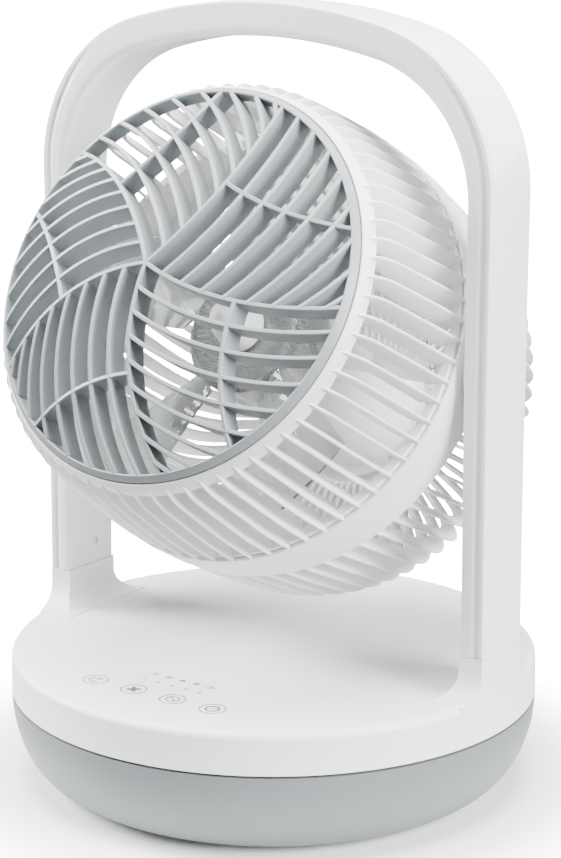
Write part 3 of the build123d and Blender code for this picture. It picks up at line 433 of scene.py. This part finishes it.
def ring_of(mesh, count, start, material):
    """Plain mesh of a piece repeated round the head's axis by the node tree; the piece's mesh is used up."""
    tree = ring_tree()
    holder = bpy.data.objects.new("ring_source", mesh)
    bpy.context.scene.collection.objects.link(holder)
    layout = holder.modifiers.new("ring", "NODES")
    layout.node_group = tree
    values = {
        "Count": count, "Start": start, "Material": material,
        "Lean": (HEAD_LEAN, 0.0, 0.0), "Place": tuple(PIVOT)}
    for item in tree.interface.items_tree:
        if item.in_out == "INPUT" and item.name in values:
            layout[item.identifier] = values[item.name]
    ready = holder.evaluated_get(bpy.context.evaluated_depsgraph_get())
    made = bpy.data.meshes.new_from_object(ready)
    holder.modifiers.clear()
    bpy.data.objects.remove(holder)
    bpy.data.meshes.remove(mesh)
    return made


# ---------------------------------------------------------------- arch
class ArchLine:
    """One outline of the arch: leaning leg, round corner and gentle crown.

    Places along it run from 0 at the foot over 1 and 2, the corner's ends, to 3 at the top.
    """

    def __init__(self, foot_x, leg_x, top_z, corner_r, crown_r):
        self.foot_x, self.leg_x, self.top_z = foot_x, leg_x, top_z
        self.corner_r, self.crown_r = corner_r, crown_r
        self.crown_z = top_z - crown_r
        self.corner_x = leg_x - corner_r
        self.corner_z = self.crown_z + sqrt((crown_r - corner_r) ** 2 - self.corner_x**2)
        self.join = atan2(self.corner_z - self.crown_z, self.corner_x)

    def place(self, u):
        if u <= 1:
            z = ARCH_SEAM_Z + (self.corner_z - ARCH_SEAM_Z) * u
            return self.leg_x + (self.foot_x - self.leg_x) * (1 - u) ** 2, z
        if u <= 2:
            a = self.join * (u - 1)
            return self.corner_x + self.corner_r * cos(a), self.corner_z + self.corner_r * sin(a)
        a = self.join + (pi / 2 - self.join) * (u - 2)
        return self.crown_r * cos(a), self.crown_z + self.crown_r * sin(a)


OUTER = ArchLine(foot_x=149.0, leg_x=147.0, top_z=ARCH_TOP_Z, corner_r=88.0, crown_r=320.0)
INNER = ArchLine(foot_x=134.0, leg_x=131.5, top_z=415.0, corner_r=75.0, crown_r=300.0)
LEG_STEPS, CORNER_STEPS, CROWN_STEPS = 24, 56, 20
FACE_DROP = 0.7                   # how far the outer face falls from its middle to its edges
FACE_EDGE = 3.4                   # where the outer face begins, in from the arch's front and rear
FLUTE_GAP = 0.1                   # least distance from the rounded edge to the first flute
INNER_FLAT_HALF = 4.0
NOTCH_LIP_ROUND, NOTCH_ROUND, STRIP_ROUND = 1.2, 0.3, 0.4
NOTCH_FLOOR, STRIP_SLOPE = 0.5, 0.3
# Places along the arch between which the crease and the flutes fade in and out.
CREASE_NONE, CREASE_FULL = 1.75, 1.3
FLUTES_NONE_LOW, FLUTES_FULL_LOW = 1.02, 1.14
FLUTES_FULL_HIGH, FLUTES_NONE_HIGH = 1.7, 1.88
FLUTE_LAG_LOW, FLUTE_LAG_HIGH = 0.14, 0.1    # how much higher, and lower, the rearmost flute's ends are
FLUTE_SHAPE = (                   # share of the width, share of the depth
    (-0.5, 0), (-0.34, 0.3), (-0.14, 0.9), (0, 1), (0.14, 0.9), (0.34, 0.3), (0.5, 0))


def arch_stations():
    """Places along the arch from the right foot to the left one, as (u, side)."""
    up = [i / LEG_STEPS for i in range(LEG_STEPS)]
    up += [1 + i / CORNER_STEPS for i in range(CORNER_STEPS)]
    up += [2 + i / CROWN_STEPS for i in range(CROWN_STEPS)]
    return [(u, 1) for u in up] + [(3, 1)] + [(u, -1) for u in reversed(up)]


def arch_rows():
    """Rows of points round the arch's section, one at each place along it."""
    rows = []
    for u, side in arch_stations():
        (ox, oz), (ix, iz) = OUTER.place(u), INNER.place(u)
        thick = hypot(ox - ix, oz - iz)
        dx, dz = (ix - ox) / thick, (iz - oz) / thick
        rows.append([Vector((side * (ox + dx * w), y, oz + dz * w)) * MM for y, w in arch_section(u, thick)])
    return rows


def arch_section(u, thick):
    """Section of the arch: fluted outer face, notch behind the outer strip on the legs, round inner edges.

    Its points are (y, depth below the outer face).
    """
    sizes = bpy.context.scene.circulator.arch
    half, strip = LEG_HALF_DEPTH, sizes.strip / MM
    on_leg = fade(u, CREASE_NONE, CREASE_FULL)
    notch_in = half - sizes.crease_depth / MM * on_leg
    notch_end = strip + sizes.crease_width / MM
    side = softened([
        (-INNER_FLAT_HALF, thick, 0),
        (-half, thick, sizes.inner_round / MM),
        (-half, notch_end, NOTCH_LIP_ROUND),
        (-notch_in, strip + NOTCH_FLOOR, NOTCH_ROUND),
        (-notch_in, strip, NOTCH_ROUND),
        (-half, strip - STRIP_SLOPE, STRIP_ROUND),
        (-half, FACE_DROP, sizes.outer_round / MM),
        (-half + FACE_EDGE, FACE_DROP * 0.5, 0)], steps=6)
    flutes = flute_points(u)
    front = [p for p in side if p[1] > strip or p[0] < flutes[0][0] - FLUTE_GAP]
    return front + flutes + [(-y, w) for y, w in reversed(front)]


def flute_points(u):
    """Outer face across the arch; its flutes fade in and out over the upper corner, the rear ones later."""
    sizes = bpy.context.scene.circulator.arch
    pitch, width, deep = sizes.flute_pitch / MM, sizes.flute_width / MM, sizes.flute_depth / MM
    points = []
    for i in range(sizes.flutes):
        y0 = (i - (sizes.flutes - 1) / 2) * pitch
        back = i / (sizes.flutes - 1)
        low, high = FLUTE_LAG_LOW * back, FLUTE_LAG_HIGH * back
        begun = fade(u, FLUTES_NONE_LOW + low, FLUTES_FULL_LOW + low)
        shown = begun * fade(u, FLUTES_NONE_HIGH - high, FLUTES_FULL_HIGH - high)
        for share, drop in FLUTE_SHAPE:
            y = y0 + share * width
            points.append((y, FACE_DROP * (y / LEG_HALF_DEPTH) ** 2 + deep * drop * shown))
    return points


def rod_along_x(radius, x0, x1, y, z, steps=40):
    """Round rod between two places on X."""
    turns = [2 * pi * k / steps for k in range(steps)]
    rows = [[Vector((x, y + radius * cos(a), z + radius * sin(a))) * MM for a in turns] for x in (x0, x1)]
    return mesh_of([grid(rows)])


def cut_from(mesh, tool):
    """Exact cut of one closed mesh from another."""
    scene = bpy.context.scene.collection
    target = bpy.data.objects.new("cut_target", mesh)
    cutter = bpy.data.objects.new("cutter", tool)
    scene.objects.link(target)
    scene.objects.link(cutter)
    work = target.modifiers.new("cut", "BOOLEAN")
    work.operation, work.solver, work.object = "DIFFERENCE", "EXACT", cutter
    made = bpy.data.meshes.new_from_object(target.evaluated_get(bpy.context.evaluated_depsgraph_get()))
    bpy.data.objects.remove(target)
    bpy.data.objects.remove(cutter)
    return made


SCREW_HOLE_R = 2.6
SCREW_HOLE_DEPTH = 3.0
CUT_CLEARANCE = 2.0               # how far the cutting rod starts outside the leg


class CIRCULATOR_OT_arch(bpy.types.Operator):
    """Make the carrying arch with its flutes, its creases and its two screw holes"""
    bl_idname = "circulator.arch"
    bl_label = "Arch"

    def execute(self, _context):
        shell = mesh_of([grid(arch_rows())])
        near, far = INNER.foot_x - CUT_CLEARANCE, INNER.foot_x + SCREW_HOLE_DEPTH
        holes = [rod_along_x(SCREW_HOLE_R, side * near, side * far, LEG_SCREW_Y, LEG_SCREW_Z)
                 for side in (-1, 1)]
        shell = cut_from(shell, joined(holes))
        keep("arch_shell", shell, white_abs(), "turret", "white_shell", "arch_cap", "arch_frame")
        return {"FINISHED"}


# ---------------------------------------------------------------- head
BAND_R = 128.0
BAND_FRONT, BAND_REAR = 21.0, -11.0
RING_R, RING_IN_R = 108.2, 104.6
RING_FACE, RING_BACK = 104.7, 96.1
DOME_RISE = 25.6
# Outer edges of the ribs: distance along the head's axis, radius.
FRONT_EDGE = [
    (100.0, 110.6), (98.6, 112.3), (95.0, 115.2), (90.5, 117.1), (85.0, 118.6), (70.0, 121.2),
    (45.0, 125.2), (21.8, 127.5)]
REAR_EDGE = [
    (-10.6, 127.6), (-30, 126.8), (-50, 125.4), (-70, 123.2), (-88, 118.0), (-101, 108.6),
    (-109, 95.0), (-113.4, 72.0), (-114.6, 46.0)]
FRONT_RIB_DEPTHS, REAR_RIB_DEPTHS = (8.5, 14.0), (12.0, 10.0)
REAR_SKEW = 1.6                   # skew of a rear rib as a share of a front rib's
RIB_CURL = 0.06                   # how much a rib's skew gathers towards its ends
# Turned outlines: radius, distance along the head's axis, rounding.
RIM = [
    (RING_R + 0.45, RING_FACE - 2.4, 0.4), (RING_R + 1.5, RING_FACE - 2.6, 0.8), (112.0, 98.0, 3.0),
    (113.0, 94.6, 0.5), (111.4, 94.2, 0.5), (RING_R + 1.2, RING_BACK - 1.5, 0.5),
    (RING_R - 3.0, RING_BACK - 1.2, 0.3), (RING_R - 3.0, RING_BACK - 0.1, 0.2),
    (RING_R + 0.45, RING_BACK - 0.1, 0)]
TAIL = [
    (125.0, BAND_FRONT - 2.2, 0.3), (125.0, BAND_FRONT + 2.6, 0.5), (120.0, BAND_FRONT + 2.6, 0.5),
    (120.0, BAND_FRONT - 2.2, 0.3)]
BAND = [
    (BAND_R - 0.6, BAND_FRONT, 0.6), (BAND_R, BAND_FRONT - 8, 8), (BAND_R, BAND_REAR + 8, 8),
    (BAND_R - 0.8, BAND_REAR, 0.6), (116.5, BAND_REAR - 1.6, 0.6), (116.5, BAND_REAR + 2, 0.6),
    (BAND_R - 3.0, BAND_REAR + 3, 0.6), (BAND_R - 2.5, BAND_FRONT, 0.5)]
HUB = [(30.0, -112.2, 0.4), (30.0, -116.0, 0.5), (46.5, -116.0, 1.2), (47.0, -112.2, 0.8)]
BOSS_R, BOSS_INNER_X, BOSS_OUTER_X = 18.0, 114.0, 126.6
GRILLE_RING = [
    (RING_R, RING_FACE - 1.8, 0.4), (RING_R, RING_BACK, 0.3), (RING_IN_R, RING_BACK, 0.3),
    (RING_IN_R, RING_FACE + 1.3, 0.4), (RING_IN_R + 0.9, RING_FACE + 1.6, 0.4)]


def dome(x, y):
    """Height of the grille's front over the flat pattern."""
    sphere_r = (RING_R**2 + DOME_RISE**2) / (2 * DOME_RISE)
    return RING_FACE + DOME_RISE - sphere_r + sqrt(sphere_r**2 - x * x - y * y)


def turned(x, y, a):
    return x * cos(a) - y * sin(a), x * sin(a) + y * cos(a)


def side_rib(edge, depths, skew, steps=7):
    """One leaning rib under an outer edge of (distance, radius) points; it turns round the head by skew.

    Its section is (depth under the edge, share of half the thickness) points.
    """
    sizes = bpy.context.scene.circulator.head
    line = curve_through(edge, steps)
    half, lean = sizes.rib_thickness / MM / 2, sizes.rib_lean
    rows = []
    count = len(line) - 1
    for i, (s, r) in enumerate(line):
        s0, r0 = line[max(i - 1, 0)]
        s1, r1 = line[min(i + 1, count)]
        run = hypot(s1 - s0, r1 - r0)
        inward = ((r1 - r0) / run, -abs(s1 - s0) / run)
        t = i / count
        turn = skew * (t - 0.5 + RIB_CURL * sin(2 * pi * t))
        deep = depths[0] + (depths[1] - depths[0]) * t
        section = (
            (0.25, -0.55), (0, -0.2), (0, 0.2), (0.25, 0.55), (1.2, 0.92), (deep, 0.8),
            (deep + 0.4, 0.4), (deep + 0.4, -0.4), (deep, -0.8), (1.2, -0.92))
        row = []
        for down, side in section:
            sunk = down * cos(lean)
            sideways = side * half * cos(lean) - down * sin(lean)
            outwards = r + inward[1] * sunk - side * half * sin(lean) * abs(inward[1])
            along = s - inward[0] * sunk * (1 if s1 < s0 else -1)
            row.append(Vector((*turned(outwards, sideways, turn), along)) * MM)
        rows.append(row)
    return mesh_of([grid(rows)])


class CIRCULATOR_OT_front_cage(bpy.types.Operator):
    """Make the front cage: rim round the grille, leaning ribs and the ring tucked into the band"""
    bl_idname = "circulator.front_cage"
    bl_label = "Front cage"

    def execute(self, context):
        sizes = context.scene.circulator.head
        rib = side_rib(FRONT_EDGE, FRONT_RIB_DEPTHS, sizes.rib_skew)
        ribs = ring_of(rib, sizes.ribs, sizes.rib_start, white_abs())
        shell = joined([lathe(softened(RIM)), lathe(softened(TAIL))], IN_HEAD)
        keep("front_cage_ribs", joined([shell, ribs]), white_abs(), "head", "white_shell", "front_cage")
        return {"FINISHED"}


class CIRCULATOR_OT_rear_cage(bpy.types.Operator):
    """Make the rear cage: smooth band with its bosses, leaning ribs and the rear hub"""
    bl_idname = "circulator.rear_cage"
    bl_label = "Rear cage"

    def execute(self, context):
        sizes = context.scene.circulator.head
        rib = side_rib(REAR_EDGE, REAR_RIB_DEPTHS, sizes.rib_skew * REAR_SKEW)
        ribs = ring_of(rib, sizes.ribs, sizes.rib_start, white_abs())
        bosses = [rod_along_x(BOSS_R, side * BOSS_INNER_X, side * BOSS_OUTER_X, 0, 0) for side in (-1, 1)]
        shell = joined([lathe(softened(BAND)), lathe(softened(HUB))] + bosses, IN_HEAD)
        keep("rear_cage_ribs", joined([shell, ribs]), white_abs(), "head", "white_shell", "rear_cage")
        return {"FINISHED"}


DIVIDER_END = (105.0, -4.0)       # where the first divider reaches the ring
CROSS_RIB_AT = 57.0
RIB_OVERLAP = 0.3                 # how far a grille rib runs into the ring
RUN_STEP, LONGEST_RUN, SHORTEST_RUN = 0.25, 240, 6
TANGENT_RUN = 0.5                 # how far ahead a rib's direction is taken from
GRILLE_RIB_EDGE, GRILLE_RIB_FOOT = 0.5, 0.3


def along_divider(run):
    """Point on the first divider at a distance from the centre; every grille rib has the same bend."""
    bend = bpy.context.scene.circulator.head.grille_bend / MM
    end_x, end_y = DIVIDER_END
    chord = hypot(end_x, end_y)
    rise = sqrt(bend**2 - (chord / 2) ** 2)
    centre_x = end_x / 2 - end_y / chord * rise
    centre_y = end_y / 2 + end_x / chord * rise
    a = atan2(-centre_y, -centre_x) + run / bend
    return centre_x + bend * cos(a), centre_y + bend * sin(a)


def grille_rib(start, turn, reach, steps=22):
    """Deep thin rib on the dome: the common bend, turned, from a start point out to the ring."""
    sizes = bpy.context.scene.circulator.head
    half, depth = sizes.grille_rib / MM / 2, sizes.grille_depth / MM

    def flat(run):
        x, y = along_divider(run)
        return start[0] + x * cos(turn) - y * sin(turn), start[1] + x * sin(turn) + y * cos(turn)

    end = 0.0
    while end < LONGEST_RUN and hypot(*flat(end)) < reach:
        end += RUN_STEP
    if end < SHORTEST_RUN:
        return None
    section = (
        (-1.0, GRILLE_RIB_EDGE), (-0.62, 0.0), (0.62, 0.0), (1.0, GRILLE_RIB_EDGE),
        (0.72, depth - GRILLE_RIB_FOOT), (0.4, depth), (-0.4, depth), (-0.72, depth - GRILLE_RIB_FOOT))
    rows = []
    for i in range(steps + 1):
        run = end * i / steps
        x, y = flat(run)
        nx, ny = flat(run + TANGENT_RUN)
        tangent = Vector((nx - x, ny - y)).normalized()
        across = Vector((-tangent.y, tangent.x))
        front = dome(x, y) if hypot(x, y) < RING_R else RING_FACE
        rows.append([Vector((x + across.x * half * side, y + across.y * half * side, front - down)) * MM
                     for side, down in section])
    return grid(rows)


class CIRCULATOR_OT_grille(bpy.types.Operator):
    """Make the domed pinwheel grille and its ring"""
    bl_idname = "circulator.grille"
    bl_label = "Front grille"

    def execute(self, context):
        sizes = context.scene.circulator.head
        step = 2 * pi / sizes.sectors
        pitch = sizes.grille_pitch / MM
        reach = RING_IN_R + RIB_OVERLAP
        ribs = [grille_rib((0, 0), 0, reach)]
        for i in range(1, int(RING_R // pitch) + 1):
            ribs.append(grille_rib(along_divider(i * pitch), step, reach))
        ribs.append(grille_rib(turned(*along_divider(CROSS_RIB_AT), step), 0, reach))
        sector = joined([mesh_of([rib]) for rib in ribs if rib])
        pinwheel = ring_of(sector, sizes.sectors, 0.0, grille_abs())
        ring = joined([lathe(softened(GRILLE_RING))], IN_HEAD)
        keep("grille_pinwheel", joined([ring, pinwheel]), grille_abs(), "head", "grey_grille", "front_grille")
        return {"FINISHED"}


# ---------------------------------------------------------------- printed marks
DISH_R = 5185.0
DISH_LOW = 73.0
KEY_ROW_Y, HOUR_ROW_Y, SPEED_ROW_Y = -109.3, -82.8, -92.9
MARK_CENTRE_X = -2.8
MARK_PITCH = 9.4
PRINT_LIFT = 0.18                 # clears the facets of the dished cover
PRINT_SINK = 0.2                  # how far a printed line reaches into the cover
FIGURE_HALF_THICK = 0.1


def on_cover(x, y, lift):
    """Point over the dished cover."""
    return Vector((x, y, DISH_LOW + (x * x + y * y) / (2 * DISH_R) + lift)) * MM


def stroke(points, width, closed=False):
    """Thin printed line along points: a flat closed bar that sits on the cover."""
    rows = []
    count = len(points)
    for i, (x, y) in enumerate(points):
        before = points[i - 1] if closed or i else points[0]
        after = points[(i + 1) % count] if closed or i < count - 1 else points[-1]
        dx, dy = after[0] - before[0], after[1] - before[1]
        run = hypot(dx, dy)
        ax, ay = -dy / run * width / 2, dx / run * width / 2
        rows.append([on_cover(x + ax, y + ay, PRINT_LIFT), on_cover(x - ax, y - ay, PRINT_LIFT),
                     on_cover(x - ax, y - ay, -PRINT_SINK), on_cover(x + ax, y + ay, -PRINT_SINK)])
    return grid(rows, capped=not closed)


def arc_points(cx, cy, r, start, end, steps=40):
    """Points on an arc between two angles in degrees."""
    angles = [radians(start + (end - start) * k / steps) for k in range(steps + 1)]
    return [(cx + r * cos(a), cy + r * sin(a)) for a in angles]


def ring_mark(cx, cy, r, width):
    return stroke(arc_points(cx, cy, r, 0, 360, 64)[:-1], width, closed=True)


def power_mark(x, y, w):
    """Open ring with a bar in its gap."""
    bar = [(x + 0.4, y + 0.2), (x + 3.3, y + 3.3)]
    return [stroke(arc_points(x, y, 3.4, 60, 330), w * 1.3), stroke(bar, w * 1.3)]


def blades_mark(x, y, w):
    """Four bent petals."""
    petals = []
    for k in range(4):
        a = radians(90 * k + 20)
        petals.append(stroke([(x + 0.5 * cos(a), y + 0.5 * sin(a)),
                              (x + 2.0 * cos(a + 0.35), y + 2.0 * sin(a + 0.35)),
                              (x + 3.7 * cos(a + 0.2), y + 3.7 * sin(a + 0.2))], w * 4.2))
    return petals


def sweep_mark(x, y, w):
    """Ring crossed by a slanting bar."""
    bar = [(x - 2.8, y + 1.9), (x - 1.0, y + 0.9), (x + 1.0, y - 0.9), (x + 2.8, y - 1.9)]
    return [ring_mark(x, y, 3.6, w * 1.2), stroke(bar, w * 1.2)]


def timer_mark(x, y, w):
    """Bold ring with two hands."""
    return [ring_mark(x, y, 3.7, w * 1.9), stroke([(x - 1.3, y + 1.5), (x, y), (x + 1.9, y + 1.5)], w * 1.3)]


def figure(text, x, y, height):
    """Generic figure as a thin solid on the cover."""
    curve = bpy.data.curves.new("figure", "FONT")
    curve.body = text
    curve.size = height * MM
    curve.extrude = FIGURE_HALF_THICK * MM
    curve.align_x, curve.align_y = "CENTER", "CENTER"
    curve.resolution_u = 3
    holder = bpy.data.objects.new("figure", curve)
    bpy.context.scene.collection.objects.link(holder)
    mesh = bpy.data.meshes.new_from_object(holder.evaluated_get(bpy.context.evaluated_depsgraph_get()))
    bpy.data.objects.remove(holder)
    bpy.data.curves.remove(curve)
    mesh.transform(Matrix.Translation(on_cover(x, y, PRINT_LIFT - FIGURE_HALF_THICK)))
    return mesh


HOURS = ("1h", "2h", "4h", "8h", "12h")
SPEEDS = ("1", "2", "3", "4", "5")


class CIRCULATOR_OT_marks(bpy.types.Operator):
    """Print the touch keys' circles, their plain symbols and two rows of figures on the cover"""
    bl_idname = "circulator.marks"
    bl_label = "Printed marks"

    def execute(self, context):
        sizes = context.scene.circulator.marks
        line, key_r, pitch = sizes.line / MM, sizes.key_radius / MM, sizes.key_pitch / MM
        parts = []
        for i, symbol in enumerate((power_mark, blades_mark, sweep_mark, timer_mark)):
            x = MARK_CENTRE_X + (i - 1.5) * pitch
            parts.append(ring_mark(x, KEY_ROW_Y, key_r, line))
            parts += symbol(x, KEY_ROW_Y, line)
        meshes = [mesh_of([part]) for part in parts]
        for row, labels in ((HOUR_ROW_Y, HOURS), (SPEED_ROW_Y, SPEEDS)):
            for i, label in enumerate(labels):
                meshes.append(figure(label, MARK_CENTRE_X + (i - 2) * MARK_PITCH, row, sizes.figure / MM))
        keep("touch_marks", joined(meshes), print_ink(), "turret", "grey_bowl")
        return {"FINISHED"}


# ---------------------------------------------------------------- carried-over nodes
def coat(material, *nodes):
    """Give CAD nodes a finished material."""
    for name in nodes:
        for slot in frame["nodes"][name].material_slots:
            slot.material = material


class CIRCULATOR_OT_finishes(bpy.types.Operator):
    """Give every CAD piece that stays its own material"""
    bl_idname = "circulator.finishes"
    bl_label = "Finishes"

    def execute(self, _context):
        coat(white_abs(), "top_cover", "motor_mount", "back_cap", "spinner_nut")
        coat(bowl_abs(), "bowl_shell")
        coat(clear_polycarbonate(), "impeller")
        # The turntable and the track ring are near-black so that the gap under the top cover shows dark:
        # painted shade in that gap.
        coat(dark_abs_and_gap_shade(), "bottom_plate", "track_ring", "power_socket", "turntable")
        coat(rubber(), "rubber_feet")
        coat(acetal(), "swing_gear", "glide_pads", "tilt_bush_left", "tilt_bush_right", "tilt_washers",
             "swing_pinion")
        coat(turned_steel(), "bottom_screws", "swivel_post", "retainer_clip", "cover_screws", "swing_motor",
             "touch_springs", "leg_screws", "pinion_shaft", "trunnion_left", "trunnion_right", "motor_screws",
             "stator_core", "motor_bearings", "motor_shaft", "rotor_cup")
        coat(cast_iron(), "ballast_ring", "magnet_ring")
        coat(solder_mask(), "power_board", "control_board", "motor_board")
        coat(enamelled_copper(), "stator_coils")
        return {"FINISHED"}


# ---------------------------------------------------------------- stage
CAMERA_AZIMUTH, CAMERA_ELEVATION = radians(34.72), radians(14.99)
CAMERA_DISTANCE = 1.20614
CAMERA_TARGET = Vector((0, 0, 0.1635))
LENS, SENSOR_WIDTH, SHIFT_X, SHIFT_Y = 89.74, 36, 0.0080, 0.0713
CLIP_START, CLIP_END = 0.05, 50
FLOOR_HALF = 8
FLOOR_FADE = (0.155, 0.30)        # the floor fades out between these distances from the middle
AMBIENT, BACKDROP = 0.24, 30.0    # strengths of the white surroundings
LIT_POINT = (0, 0, 0.22)
LIGHTS = (                        # name, place, size, power
    ("left", (-1.5, -0.5, 0.9), 1.1, 120),
    ("right", (1.7, -0.1, 0.9), 1.1, 115),
    ("top", (0.0, -0.1, 2.0), 1.4, 165),
    ("front", (0.9, -1.9, 0.7), 1.2, 6))


def area_light(name, place, size, power):
    """Round soft light turned to the object."""
    light = bpy.data.lights.new(name, "AREA")
    light.shape, light.size, light.energy = "DISK", size, power
    lamp = bpy.data.objects.new(name, light)
    lamp.location = place
    lamp.rotation_euler = (Vector(LIT_POINT) - Vector(place)).to_track_quat("-Z", "Y").to_euler()
    bpy.context.scene.collection.objects.link(lamp)


def studio_world():
    """White surroundings: bright behind the object, and a softer light on it."""
    world = bpy.data.worlds.new("studio")
    world.use_nodes = True
    tree = world.node_tree
    tree.nodes.clear()
    white = (1, 1, 1, 1)
    soft = add(tree, "ShaderNodeBackground", links={"Color": white, "Strength": AMBIENT})
    backdrop = add(tree, "ShaderNodeBackground", links={"Color": white, "Strength": BACKDROP})
    seen = add(tree, "ShaderNodeLightPath").outputs["Is Camera Ray"]
    mixed = add(tree, "ShaderNodeMixShader", links={0: seen, 1: soft.outputs[0], 2: backdrop.outputs[0]})
    add(tree, "ShaderNodeOutputWorld", links={"Surface": mixed.outputs[0]})
    return world


def pale_floor():
    """Matt white paper sweep: takes the soft shadow round the object and fades into the surroundings."""
    material = shaded("white_paper_sweep_matt", {"Base Color": linear("#FBFBFB")},
                      vary=0.0, grain_mm=8, relief_mm=0.001, roughness=0.8, spread=0.02)
    tree = material.node_tree
    where = add(tree, "ShaderNodeTexCoord").outputs["Object"]
    away = add(tree, "ShaderNodeVectorMath", {"operation": "LENGTH"}, {0: where})
    faded = add(tree, "ShaderNodeMapRange", {"interpolation_type": "SMOOTHSTEP"}, {
        "Value": away.outputs["Value"], "From Min": FLOOR_FADE[0], "From Max": FLOOR_FADE[1]})
    painted = next(node for node in tree.nodes if node.type == "BSDF_PRINCIPLED")
    output = next(node for node in tree.nodes if node.type == "OUTPUT_MATERIAL")
    clear = add(tree, "ShaderNodeBsdfTransparent")
    mixed = add(tree, "ShaderNodeMixShader", links={
        0: faded.outputs[0], 1: painted.outputs[0], 2: clear.outputs[0]})
    tree.links.new(mixed.outputs[0], output.inputs["Surface"])
    return material


class CIRCULATOR_OT_stage(bpy.types.Operator):
    """Set up the pale floor, the soft lights and the camera"""
    bl_idname = "circulator.stage"
    bl_label = "Stage"

    def execute(self, context):
        scene = context.scene
        corners = [Vector((x * FLOOR_HALF, y * FLOOR_HALF, 0))
                   for x, y in ((-1, -1), (1, -1), (1, 1), (-1, 1))]
        floor = bpy.data.objects.new("floor", mesh_of([(corners, [(0, 1, 2, 3)])], turn_out=False))
        scene.collection.objects.link(floor)
        floor.data.materials.append(pale_floor())
        scene.world = studio_world()
        for name, place, size, power in LIGHTS:
            area_light(name, place, size, power)
        lens = bpy.data.cameras.new("camera")
        lens.lens, lens.sensor_width = LENS, SENSOR_WIDTH
        lens.shift_x, lens.shift_y = SHIFT_X, SHIFT_Y
        lens.clip_start, lens.clip_end = CLIP_START, CLIP_END
        camera = bpy.data.objects.new("camera", lens)
        level = cos(CAMERA_ELEVATION)
        back = Vector((sin(CAMERA_AZIMUTH) * level, -cos(CAMERA_AZIMUTH) * level, sin(CAMERA_ELEVATION)))
        camera.location = CAMERA_TARGET + back * CAMERA_DISTANCE
        camera.rotation_mode = "QUATERNION"
        camera.rotation_quaternion = (-back).to_track_quat("-Z", "Y")
        scene.collection.objects.link(camera)
        scene.camera = camera
        return {"FINISHED"}


PIECE_OPERATORS = (
    CIRCULATOR_OT_stage, CIRCULATOR_OT_arch, CIRCULATOR_OT_front_cage, CIRCULATOR_OT_rear_cage,
    CIRCULATOR_OT_grille, CIRCULATOR_OT_marks, CIRCULATOR_OT_finishes)


class CIRCULATOR_PT_pieces(bpy.types.Panel):
    """Lists the makers of the circulator's pieces"""
    bl_label = "Air circulator"
    bl_space_type = "VIEW_3D"
    bl_region_type = "UI"
    bl_category = "Circulator"

    def draw(self, context):
        settings = context.scene.circulator
        for group in (settings.arch, settings.head, settings.marks, settings.finishes):
            box = self.layout.box()
            for name in group.bl_rna.properties.keys():
                if name not in ("rna_type", "name"):
                    box.prop(group, name)
        for maker in PIECE_OPERATORS:
            self.layout.operator(maker.bl_idname)


CLASSES = (ArchSizes, HeadSizes, PrintSizes, Finishes, Circulator) + PIECE_OPERATORS + (CIRCULATOR_PT_pieces,)


def register():
    for item in CLASSES:
        bpy.utils.register_class(item)
    bpy.types.Scene.circulator = PointerProperty(type=Circulator)


def unregister():
    del bpy.types.Scene.circulator
    for item in reversed(CLASSES):
        bpy.utils.unregister_class(item)


def main():
    register()
    for maker in PIECE_OPERATORS:
        group, name = maker.bl_idname.split(".")
        getattr(getattr(bpy.ops, group), name)()


if __name__ == "__main__":
    main()
